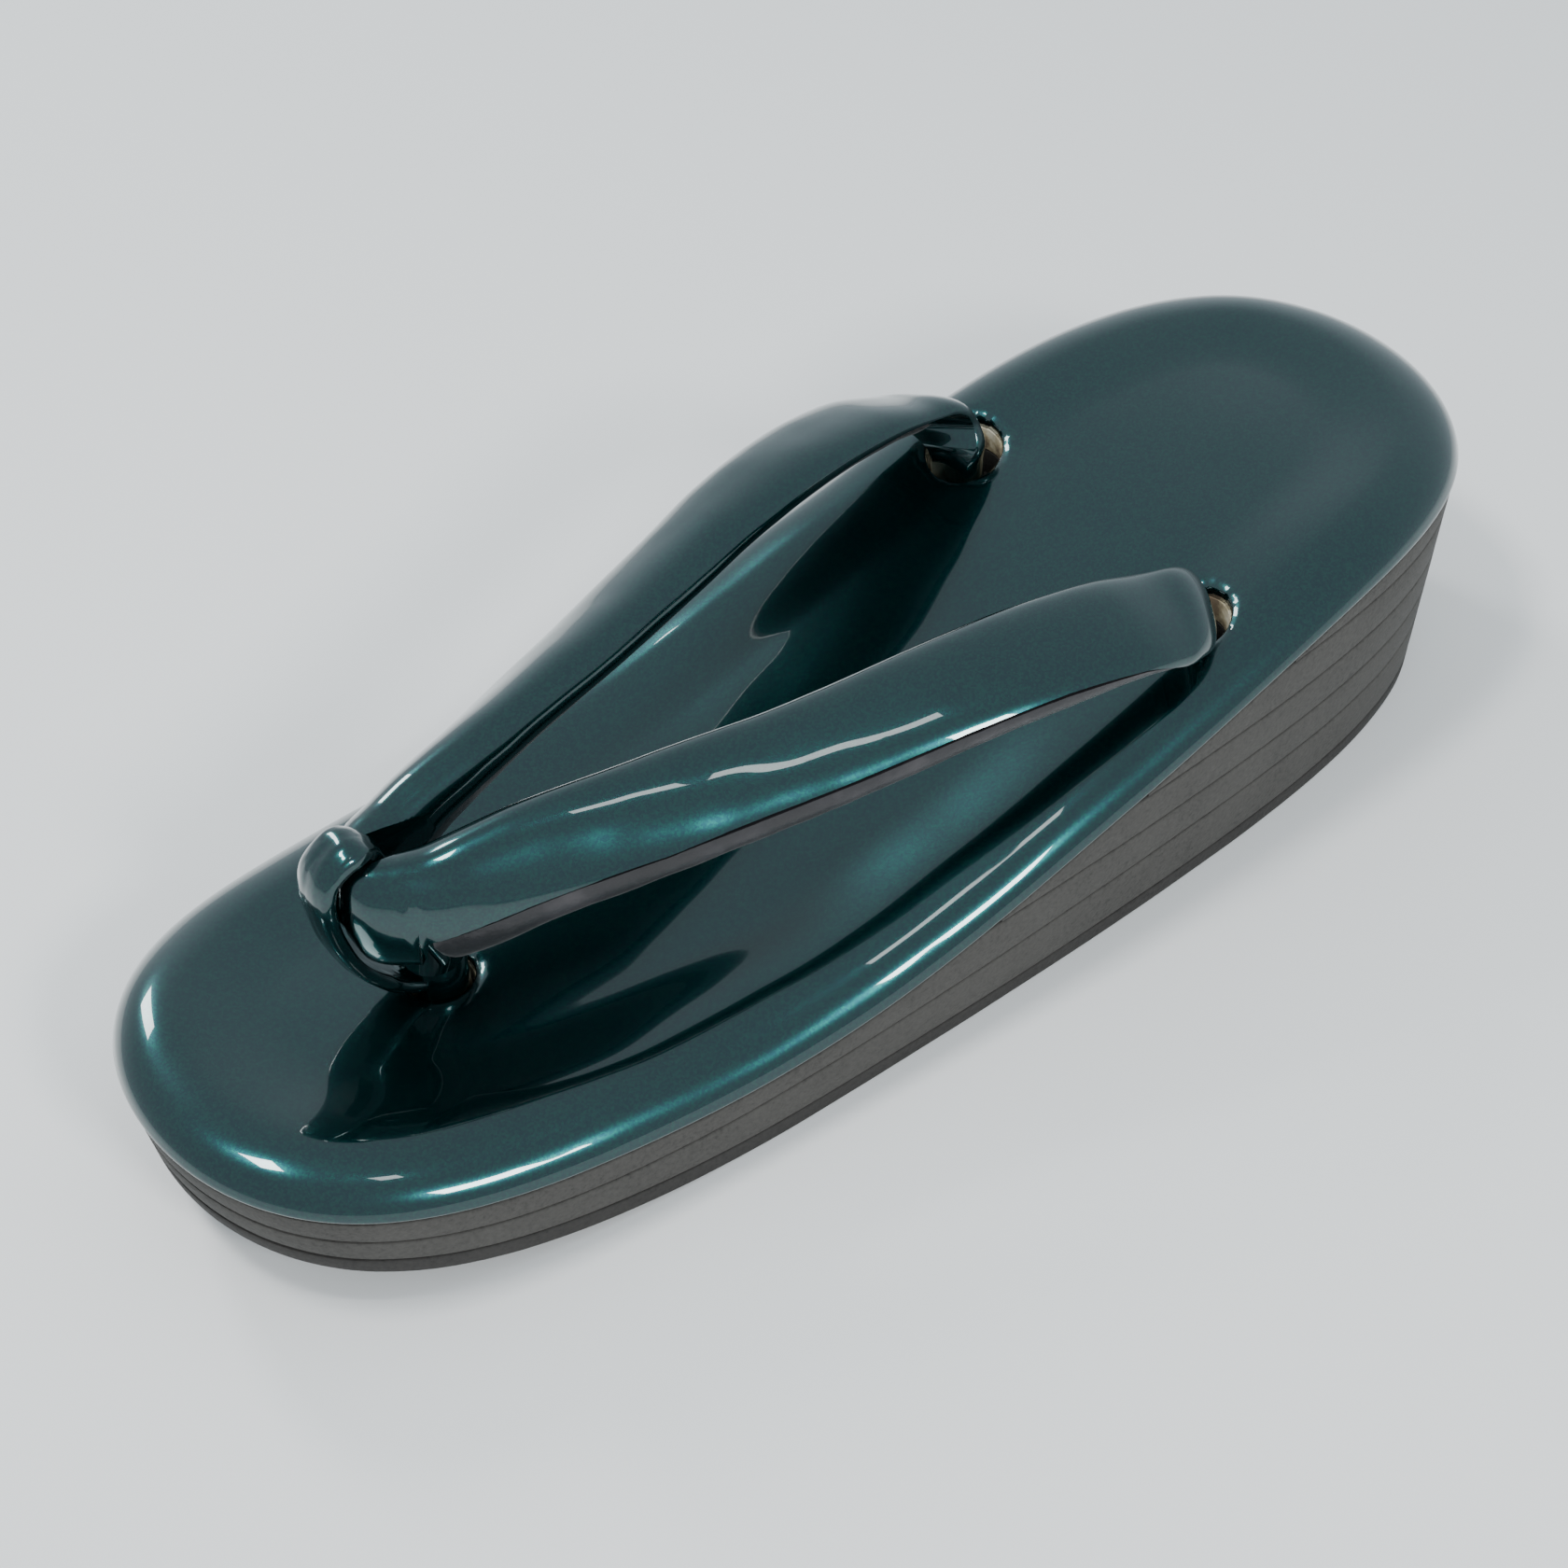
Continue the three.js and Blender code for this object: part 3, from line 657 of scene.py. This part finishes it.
def build_deck_cover(settings):
    points, faces = deck_surface()
    soft = np.array([noise.noise(Vector((p[0] * 0.05, p[1] * 0.04, 3.1))) for p in points])
    points[:, 2] += DECK_WAVE * soft * smoothstep(points[:, 2] - seat_at(points[:, 1]), 3.0, 6.0)
    inside = np.zeros(len(points), bool)
    for x, y, radius in hole_places():
        radius += HOLE_LIP
        away = np.hypot(points[:, 0] - x, points[:, 1] - y)
        inside |= away < radius - RIM_GATHER
        points[:, 2] -= HOLE_SINK * (1 - smoothstep(away, radius, radius + HOLE_SINK_REACH))
    faces = [f for f in faces if not any(inside[i] for i in f)]
    piece = new_piece("enamelled_deck_cover", points, faces)
    bm = bmesh.new()
    bm.from_mesh(piece.data)
    bmesh.ops.delete(bm, geom=[v for v in bm.verts if not v.link_faces], context="VERTS")
    for x, y, radius in hole_places():
        radius += HOLE_LIP
        centre = Vector((x, y)) * MM
        rim = [
            e for e in bm.edges
            if e.is_boundary and all((v.co.xy - centre).length < (radius + RIM_REACH) * MM for v in e.verts)
        ]
        for v in {v for e in rim for v in e.verts}:
            v.co.xy = centre + (v.co.xy - centre).normalized() * radius * MM
        for step_in, step_down in RIM_STEPS:
            made = bmesh.ops.extrude_edge_only(bm, edges=rim)["geom"]
            rim = [g for g in made if isinstance(g, bmesh.types.BMEdge)]
            for v in [g for g in made if isinstance(g, bmesh.types.BMVert)]:
                v.co.xy -= (v.co.xy - centre).normalized() * step_in * MM
                v.co.z -= step_down * MM
    bmesh.ops.recalc_face_normals(bm, faces=bm.faces)
    top = max(bm.faces, key=lambda f: f.calc_center_median().z)
    if top.normal.z < 0:
        bmesh.ops.reverse_faces(bm, faces=bm.faces)
    bm.to_mesh(piece.data)
    bm.free()
    wall = piece.modifiers.new("wall", "SOLIDIFY")
    wall.thickness = (COVER_WALL - SKIN_MARGIN) * MM
    wall.offset = -1
    bake_modifiers(piece)
    piece.data.shade_smooth()
    material = metallic_enamel(settings, "metallic_enamel_deck", 26.0, 0.6)
    finish_piece(piece, ["deck_cover"], material)


def build_deck_core(settings):
    wall = COVER_WALL + 2 * CLEARANCE + COVER_TUCK
    count = 240
    insets = [wall + share * (PAD_RIM - wall) for share in (0.03, 0.1, 0.2, 0.35, 0.55, 0.8, 1)]
    insets += [PAD_RIM + share * BOWL_REACH for share in (0.25, 0.5, 0.75, 1)]
    rings = [outline_ring(wall, CLEARANCE, count)]
    for inset in insets:
        rise = pad_height(inset - wall, PAD_RIM - wall, PAD_RISE - wall)
        rings.append(outline_ring(inset, CLEARANCE + rise, count))
    points, faces = ring_sheet(rings, 12)
    faces.extend((i, count - 1 - i, count - 2 - i, i + 1) for i in range(count // 2 - 1))
    piece = new_piece("deck_core_board", points, faces)
    recalculate_outward(piece)
    cut(piece, hole_cutters())
    piece.data.shade_smooth()
    piece.data.set_sharp_from_angle(angle=math.radians(CREASE_DEGREES))
    finish_piece(piece, ["deck_core"], cream_core(settings, "punched_core_board"))


# Thong


def section_axes(tangent, tilt, skew):
    """Across runs from the strap's inner edge to its outer one, and up stands out of its face."""
    tilt, skew = math.radians(tilt), math.radians(skew)
    across = np.array(
        [math.cos(tilt) * math.cos(skew), -math.cos(tilt) * math.sin(skew), -math.sin(tilt)]
    )
    up = np.cross(across, tangent)
    return across, up / np.linalg.norm(up)


def strap_stations():
    """At each row of the strap's two tables: centre, across, up, half width, half thickness, and the
    turn and height of the plane between enamel and lining."""
    run = BACK_HOLE[1] - JOINT_Y
    stations = []
    for along, out, rise, *_ in STRAP_TABLE:
        y = JOINT_Y + along * run
        stations.append([out * BACK_HOLE[0], y, deck_at(y) + rise * STRAP_ARCH])
    centres = np.array(stations)
    result = []
    for i, (_, _, _, tilt, skew, half, thick, turn, seam) in enumerate(STRAP_TABLE):
        tangent = centres[min(i + 1, len(centres) - 1)] - centres[max(i - 1, 0)]
        across, up = section_axes(tangent / np.linalg.norm(tangent), tilt, skew)
        sizes = [half * STRAP_WIDTH / 2, thick * STRAP_THICKNESS / 2, turn, seam]
        result.append(np.concatenate([centres[i], across, up, sizes]))
    last = result[-1]
    end = seat_at(BACK_HOLE[1]) - POCKET_DEPTH + CLEARANCE
    for along, out, drop, lean, tilt, skew, narrow in NECK_TABLE:
        y = JOINT_Y + along * run
        centre = np.array([out * BACK_HOLE[0], y, last[2] + (end - last[2]) * drop])
        lean = math.radians(lean)
        across, up = section_axes(np.array([0, math.cos(lean), -math.sin(lean)]), tilt, skew)
        neck = np.array([NECK_WIDTH / 2, NECK_THICKNESS / 2, 0, NECK_SEAM])
        result.append(np.concatenate([centre, across, up, last[9:] + (neck - last[9:]) * narrow]))
    return np.array(result)


def along_strap(count, start=None, end=None):
    """Stations spaced evenly between two shares of the way from the joint to the back hole. The
    plane between enamel and lining keeps to straight lines between the rows, so it can't swing."""
    rows = strap_stations()
    travelled = np.concatenate([[0], np.cumsum(np.linalg.norm(np.diff(rows[:, :3], axis=0), axis=1))])
    keyed = np.column_stack([travelled, rows])
    run = BACK_HOLE[1] - JOINT_Y
    share = (rows[: len(STRAP_TABLE), 1] - JOINT_Y) / run
    low = 0 if start is None else np.interp(start, share, travelled[: len(share)])
    high = travelled[-1] if end is None else np.interp(end, share, travelled[: len(share)])
    at = np.linspace(low, high, count)
    dense = np.column_stack([smooth_table(keyed, c, at) for c in range(1, keyed.shape[1])])
    for column in (11, 12):
        dense[:, column] = np.interp(at, travelled, rows[:, column])
    for block in (slice(3, 6), slice(6, 9)):
        dense[:, block] /= np.linalg.norm(dense[:, block], axis=1)[:, None]
    return dense, at


def section_ring(station, inset, drop, above, around, depth=1.0, swell=0.0):
    """The part of a strap's rounded section above or below the plane between enamel and lining.
    Depth flattens it towards the plane, and swell grows it away from the plane."""
    centre, across, up, half, thick = station[:3], station[3:6], station[6:9], station[9], station[10]
    turn, seam = math.radians(station[11]), station[12]
    level_across, level_up = -math.sin(turn), math.cos(turn)
    reach = math.hypot(half * level_across, thick * level_up)
    level = seam * reach - drop
    half, thick = half - inset, thick - inset * math.sin(turn)
    far = math.atan2(thick * level_up, half * level_across)
    ends = []
    for side in (-1, 1):
        trial = far + side * np.linspace(0, math.pi, SECTION_TRIALS)
        height = rounded(np.cos(trial)) * half * level_across + rounded(np.sin(trial)) * thick * level_up
        under = height <= level
        ends.append(trial[np.argmax(under) if under.any() else -1])
    low, high = ends if above else (ends[0], ends[1] - 2 * math.pi)
    angles = np.linspace(low, high, around)
    s, n = rounded(np.cos(angles)) * half, rounded(np.sin(angles)) * thick
    height = s * level_across + n * level_up - level
    bulge = swell * np.sin(np.pi * np.arange(around) / (around - 1))
    shift = height * (depth - 1) + np.sign(height) * bulge
    s, n = s + shift * level_across, n + shift * level_up
    return centre + s[:, None] * across + n[:, None] * up


def strap_body(side, count=190, around=56):
    """The enamelled side of one strap. Where the lining lies it is cut flat."""
    dense, _ = along_strap(count)
    points = np.array([section_ring(station, 0, 0, True, around) for station in dense])
    seeds = points.reshape(-1, 3) * (0.07 * side, 0.07, 0.07) + (0, 0, 5 * side)
    crease = np.array([noise.noise(Vector(seed)) for seed in seeds]).reshape(points.shape[:2])
    outward = points - dense[:, None, :3]
    length = np.maximum(np.linalg.norm(outward, axis=2, keepdims=True), 1e-6)
    points = points + outward / length * (STRAP_CREASE * crease)[:, :, None]
    points[:, :, 0] *= side
    faces = [tuple(f) for f in grid_faces(count, around, wrap_columns=True)]
    faces.append(tuple(range(around)))
    faces.append(tuple(range((count - 1) * around, count * around))[::-1])
    piece = new_piece("strap", points.reshape(-1, 3), faces)
    recalculate_outward(piece)
    return piece


def parting_block():
    """The gap between the straps behind their joint"""
    width = min(row[2] for row in LOOP_TABLE) * LOOP_WIDTH + 4 * CLEARANCE
    lean = math.radians(PARTING_LEAN)
    corners = []
    for x in (-width / 2, width / 2):
        for y in (0, PARTING_DEPTH):
            for z in (-LOOP_HEIGHT, LOOP_HEIGHT):
                turned = (y * math.cos(lean) - z * math.sin(lean), y * math.sin(lean) + z * math.cos(lean))
                place = (JOINT_Y - PARTING_PLACE * LOOP_DEPTH, deck_at(JOINT_Y) + LOOP_HEIGHT)
                corners.append((x, turned[0] + place[0], turned[1] + place[1]))
    faces = [(0, 1, 3, 2), (4, 6, 7, 5), (0, 4, 5, 1), (2, 3, 7, 6), (0, 2, 6, 4), (1, 5, 7, 3)]
    block = new_piece("parting", corners, faces, False)
    recalculate_outward(block)
    return block


def build_thong(settings):
    thong = strap_body(1)
    thong.name = "enamelled_thong"
    thong.data.name = "enamelled_thong"
    cut(thong, [strap_body(-1)], "UNION")
    cut(thong, [parting_block()])
    thong.data.shade_smooth()
    thong.data.set_sharp_from_angle(angle=math.radians(CREASE_DEGREES))
    finish_piece(thong, ["thong"], metallic_enamel(settings, "metallic_enamel_straps", 12.0, 0.35))


def build_strap_linings(settings):
    material = coated_lining(settings, "coated_charcoal_lining")
    count, around = 170, 26
    dense, at = along_strap(count, LINING_START, LINING_END)
    for side, word in ((1, "right"), (-1, "left")):
        rings = []
        for station, s in zip(dense, at):
            end = min(s - at[0], at[-1] - s) / LINING_TIP
            close = math.sqrt(1 - (1 - min(end, 1)) ** 2) * 0.75 + 0.25
            pucker = LINING_PUCKER * noise.noise(Vector((s * 0.22, side * 4.0, 1.5)))
            rings.append(section_ring(station, LINING_INSET, 2 * CLEARANCE, False, around, close, pucker))
        points = np.array(rings)
        points[:, :, 0] *= side
        faces = [tuple(f) for f in grid_faces(count, around, wrap_columns=True)]
        faces.append(tuple(range(around)))
        faces.append(tuple(range((count - 1) * around, count * around))[::-1])
        piece = new_piece("strap_lining_cloth_" + word, points.reshape(-1, 3), faces)
        recalculate_outward(piece)
        piece.data.set_sharp_from_angle(angle=math.radians(LINING_CREASE_DEGREES))
        finish_piece(piece, ["strap_lining_" + word], material)


def band_tree(material):
    """Geometry nodes that sweep a flat rounded band along a curve and crumple it a little."""
    tree = bpy.data.node_groups.new("toe_loop_band", "GeometryNodeTree")
    sockets = tree.interface
    sockets.new_socket("Geometry", in_out="INPUT", socket_type="NodeSocketGeometry")
    sizes = (
        ("Band Width", LOOP_WIDTH),
        ("Band Thickness", LOOP_WALL),
        ("Crumple Depth", CRUMPLE_DEPTH),
        ("Crumple Size", CRUMPLE_SIZE),
    )
    for name, value in sizes:
        socket = sockets.new_socket(name, in_out="INPUT", socket_type="NodeSocketFloat")
        socket.default_value = value * MM
    sockets.new_socket("Geometry", in_out="OUTPUT", socket_type="NodeSocketGeometry")
    given = add_node(tree, "NodeGroupInput").outputs
    path = add_node(tree, "GeometryNodeMeshToCurve", Mesh=given["Geometry"])
    share = add_node(tree, "GeometryNodeInputNamedAttribute", {"data_type": "FLOAT"}, Name="half_width")
    section = add_node(
        tree, "GeometryNodeCurvePrimitiveQuadrilateral",
        Width=given["Band Width"], Height=given["Band Thickness"],
    )
    corner = add_node(tree, "ShaderNodeMath", {"operation": "MULTIPLY"}, i0=given["Band Thickness"], i1=0.46)
    soft_section = add_node(
        tree, "GeometryNodeFilletCurve", {"mode": "POLY"},
        Curve=section.outputs["Curve"], Radius=corner.outputs[0], Count=5, Limit_Radius=True,
    )
    even_section = add_node(tree, "GeometryNodeResampleCurve", Curve=soft_section.outputs["Curve"], Count=56)
    capture = add_node(
        tree, "GeometryNodeCaptureAttribute", {"domain": "POINT"}, Geometry=path.outputs["Curve"]
    )
    capture.capture_items.new("FLOAT", "half_width")
    tree.links.new(share.outputs["Attribute"], capture.inputs["half_width"])
    sweep = add_node(
        tree, "GeometryNodeCurveToMesh",
        Curve=capture.outputs["Geometry"], Profile_Curve=even_section.outputs["Curve"],
    )
    where = add_node(tree, "GeometryNodeInputPosition").outputs["Position"]
    parts = add_node(tree, "ShaderNodeSeparateXYZ", Vector=where)
    narrower = add_node(
        tree, "ShaderNodeMath", {"operation": "SUBTRACT"}, i0=capture.outputs["half_width"], i1=1.0,
    )
    shift = add_node(
        tree, "ShaderNodeMath", {"operation": "MULTIPLY"}, i0=parts.outputs["X"], i1=narrower.outputs[0],
    )
    offset = add_node(tree, "ShaderNodeCombineXYZ", X=shift.outputs[0])
    shaped = add_node(
        tree, "GeometryNodeSetPosition", Geometry=sweep.outputs["Mesh"], Offset=offset.outputs["Vector"]
    )
    stretch = add_node(
        tree, "ShaderNodeVectorMath", {"operation": "MULTIPLY"}, i0=where, i1=(2.2, 1.0, 0.55),
    )
    finer = add_node(tree, "ShaderNodeMath", {"operation": "DIVIDE"}, i0=1.0, i1=given["Crumple Size"])
    crumple = add_node(
        tree, "ShaderNodeTexNoise", Vector=stretch.outputs["Vector"], Scale=finer.outputs[0], Detail=2.0
    )
    level = add_node(tree, "ShaderNodeMath", {"operation": "SUBTRACT"}, i0=crumple.outputs["Fac"], i1=0.5)
    depth = add_node(
        tree, "ShaderNodeMath", {"operation": "MULTIPLY"}, i0=level.outputs[0], i1=given["Crumple Depth"],
    )
    doubled = add_node(tree, "ShaderNodeMath", {"operation": "MULTIPLY"}, i0=depth.outputs[0], i1=2.0)
    normal = add_node(tree, "GeometryNodeInputNormal").outputs["Normal"]
    push = add_node(tree, "ShaderNodeVectorMath", {"operation": "SCALE"}, i0=normal, Scale=doubled.outputs[0])
    crumpled = add_node(
        tree, "GeometryNodeSetPosition", Geometry=shaped.outputs["Geometry"], Offset=push.outputs["Vector"]
    )
    real = add_node(tree, "GeometryNodeRealizeInstances", Geometry=crumpled.outputs["Geometry"])
    coloured = add_node(
        tree, "GeometryNodeSetMaterial", Geometry=real.outputs["Geometry"], Material=material
    )
    add_node(tree, "NodeGroupOutput", Geometry=coloured.outputs["Geometry"])
    return tree


def loop_path(count=180):
    """Points of the toe loop's centre line, and its half width as a share, on a closed smooth curve."""
    table = np.array(LOOP_TABLE)
    along = JOINT_Y + table[:, 0] * LOOP_DEPTH
    height = deck_at(JOINT_Y) + table[:, 1] * LOOP_HEIGHT
    knots = np.stack([np.zeros(len(table)), along, height, table[:, 2]], 1)
    points = []
    size = len(knots)
    for k in range(count):
        t = k / count * size
        i, f = int(t), t - int(t)
        a, b, c, d = (knots[(i + j) % size] for j in (-1, 0, 1, 2))
        points.append(
            0.5 * (2 * b + (c - a) * f + (2 * a - 5 * b + 4 * c - d) * f**2 + (3 * b - a - 3 * c + d) * f**3)
        )
    return np.array(points)


def curl_edges(band, path):
    """Curls the band's two edges in around the joint of the straps."""
    tangent = np.roll(path[:, :3], -1, axis=0) - np.roll(path[:, :3], 1, axis=0)
    tangent /= np.linalg.norm(tangent, axis=1)[:, None]
    points = np.empty(len(band.data.vertices) * 3)
    band.data.vertices.foreach_get("co", points)
    points = points.reshape(-1, 3) / MM
    away = np.hypot(points[:, None, 1] - path[None, :, 1], points[:, None, 2] - path[None, :, 2])
    near = tangent[np.argmin(away, axis=1)]
    curl = LOOP_CURL * (2 * points[:, 0] / LOOP_WIDTH) ** 2
    points[:, 1] += near[:, 2] * curl
    points[:, 2] -= near[:, 1] * curl
    band.data.vertices.foreach_set("co", (points * MM).ravel())
    band.data.update()


def build_toe_loop(settings):
    material = metallic_enamel(settings, "metallic_enamel_loop", 6.0, 0.3)
    path = loop_path()
    count = len(path)
    mesh = bpy.data.meshes.new("enamelled_toe_loop")
    mesh.from_pydata((path[:, :3] * MM).tolist(), [(i, (i + 1) % count) for i in range(count)], [])
    width = mesh.attributes.new("half_width", "FLOAT", "POINT")
    width.data.foreach_set("value", path[:, 3].astype(np.float32))
    band = bpy.data.objects.new("enamelled_toe_loop", mesh)
    bpy.context.scene.collection.objects.link(band)
    modifier = band.modifiers.new("band", "NODES")
    modifier.node_group = band_tree(material)
    bake_modifiers(band)
    curl_edges(band, path)
    recalculate_outward(band)
    low = seat_at(FRONT_HOLE[1]) - POCKET_DEPTH + CLEARANCE
    high = deck_at(JOINT_Y) + STEM_SHARE * LOOP_HEIGHT
    stem = cylinder(0, FRONT_HOLE[1], FRONT_HOLE[2] - 2 * CLEARANCE, low, high, 48)
    cut(band, [stem], "UNION")
    band.data.shade_smooth()
    band.data.set_sharp_from_angle(angle=math.radians(BAND_CREASE_DEGREES))
    finish_piece(band, ["toe_loop"], material)


# Studio


def look_along(right, up, back):
    matrix = Matrix.Identity(4)
    for column, axis in enumerate((right, up, back)):
        for row in range(3):
            matrix[row][column] = axis[row]
    return matrix


def add_softbox(name, place, target, size, power):
    """A rectangular soft white light, aimed at a point."""
    data = bpy.data.lights.new(name, "AREA")
    data.shape = "RECTANGLE"
    data.size, data.size_y = size[0] * MM, size[1] * MM
    data.energy = power
    lamp = bpy.data.objects.new(name, data)
    place, target = Vector(place) * MM, Vector(target) * MM
    lamp.location = place
    lamp.rotation_euler = (place - target).to_track_quat("Z", "Y").to_euler()
    bpy.context.scene.collection.objects.link(lamp)


def build_stage(settings):
    reach = FLOOR_REACH
    corners = [(-reach, -reach, 0), (reach, -reach, 0), (reach, reach, 0), (-reach, reach, 0)]
    floor = new_piece("studio_floor", corners, [(0, 1, 2, 3)], False)
    material, tree, _ = new_material("pale_paper_floor")
    shader = add_node(tree, "ShaderNodeBsdfPrincipled", Base_Color=srgb(settings.floor_shade), Roughness=0.9)
    close_material(tree, shader.outputs["BSDF"])
    floor.data.materials.append(material)

    world = bpy.data.worlds.new("studio_room")
    world.use_nodes = True
    world.node_tree.nodes["Background"].inputs["Color"].default_value = ROOM_TINT
    world.node_tree.nodes["Background"].inputs["Strength"].default_value = settings.room_light
    bpy.context.scene.world = world

    for lamp in LAMPS:
        add_softbox(*lamp)

    camera = bpy.data.objects.new("camera", bpy.data.cameras.new("camera"))
    matrix = look_along(CAMERA_RIGHT, CAMERA_UP, CAMERA_BACK)
    matrix.translation = Vector(CAMERA_EYE) * MM
    camera.matrix_world = matrix
    camera.data.sensor_width = 36
    camera.data.lens = CAMERA_LENS
    camera.data.shift_x, camera.data.shift_y = CAMERA_SHIFT
    camera.data.clip_start, camera.data.clip_end = 0.01, 20
    bpy.context.scene.collection.objects.link(camera)
    bpy.context.scene.camera = camera


# Add-on


class ZoriSettings(bpy.types.PropertyGroup):
    """Finishes and light that a user may change."""

    enamel_colour: FloatVectorProperty(
        name="Enamel colour", description="Dark pigment of the enamel", subtype="COLOR",
        default=srgb("#002a30")[:3], min=0, max=1,
    )
    flake_colour: FloatVectorProperty(
        name="Flake colour", description="Metal flake that glows around the highlights", subtype="COLOR",
        default=srgb("#013b37")[:3], min=0, max=1,
    )
    flake_roughness: FloatProperty(
        name="Flake spread", description="How widely the flake scatters light", default=0.23, min=0.1, max=1,
    )
    foam_shade: StringProperty(
        name="Foam shade", description="sRGB hex colour of the sponge sheets", default="#403e3b",
    )
    outsole_shade: StringProperty(
        name="Outsole shade", description="sRGB hex colour of the bottom sheet", default="#2f2d2b",
    )
    floor_shade: StringProperty(
        name="Floor shade", description="sRGB hex colour of the studio floor", default="#e9e9e8",
    )
    room_light: FloatProperty(
        name="Room light", description="Strength of the even light from the room", default=0.9, min=0, max=4,
    )


def settings_of(context):
    return context.scene.zori_settings


class ZORI_OT_sole(bpy.types.Operator):
    """Build the outsole and the foam sheets"""

    bl_idname = "zori.sole"
    bl_label = "Sole"

    def execute(self, context):
        build_sole(settings_of(context))
        return {"FINISHED"}


class ZORI_OT_deck(bpy.types.Operator):
    """Build the deck's core and its enamelled cover"""

    bl_idname = "zori.deck"
    bl_label = "Deck"

    def execute(self, context):
        build_deck_core(settings_of(context))
        build_deck_cover(settings_of(context))
        return {"FINISHED"}


class ZORI_OT_thong(bpy.types.Operator):
    """Build the two joined straps and their linings"""

    bl_idname = "zori.thong"
    bl_label = "Thong"

    def execute(self, context):
        build_thong(settings_of(context))
        build_strap_linings(settings_of(context))
        return {"FINISHED"}


class ZORI_OT_toe_loop(bpy.types.Operator):
    """Build the enamelled loop around the joint of the straps"""

    bl_idname = "zori.toe_loop"
    bl_label = "Toe loop"

    def execute(self, context):
        build_toe_loop(settings_of(context))
        return {"FINISHED"}


class ZORI_OT_stage(bpy.types.Operator):
    """Build the floor, the lights and the camera"""

    bl_idname = "zori.stage"
    bl_label = "Studio"

    def execute(self, context):
        build_stage(settings_of(context))
        return {"FINISHED"}


class ZORI_PT_panel(bpy.types.Panel):
    """Lists the pieces of the zori and its settings"""

    bl_idname = "ZORI_PT_panel"
    bl_label = "Zori"
    bl_space_type = "VIEW_3D"
    bl_region_type = "UI"
    bl_category = "Zori"

    def draw(self, context):
        settings = settings_of(context)
        for name in ZoriSettings.__annotations__:
            self.layout.prop(settings, name)
        for operator in OPERATORS:
            self.layout.operator(operator.bl_idname)


OPERATORS = (ZORI_OT_stage, ZORI_OT_sole, ZORI_OT_deck, ZORI_OT_thong, ZORI_OT_toe_loop)
CLASSES = (ZoriSettings, *OPERATORS, ZORI_PT_panel)


def register():
    for cls in CLASSES:
        bpy.utils.register_class(cls)
    bpy.types.Scene.zori_settings = PointerProperty(type=ZoriSettings)


def unregister():
    del bpy.types.Scene.zori_settings
    for cls in reversed(CLASSES):
        bpy.utils.unregister_class(cls)


def main():
    register()
    bpy.ops.zori.stage()
    bpy.ops.zori.sole()
    bpy.ops.zori.deck()
    bpy.ops.zori.thong()
    bpy.ops.zori.toe_loop()


if __name__ == "__main__":
    main()
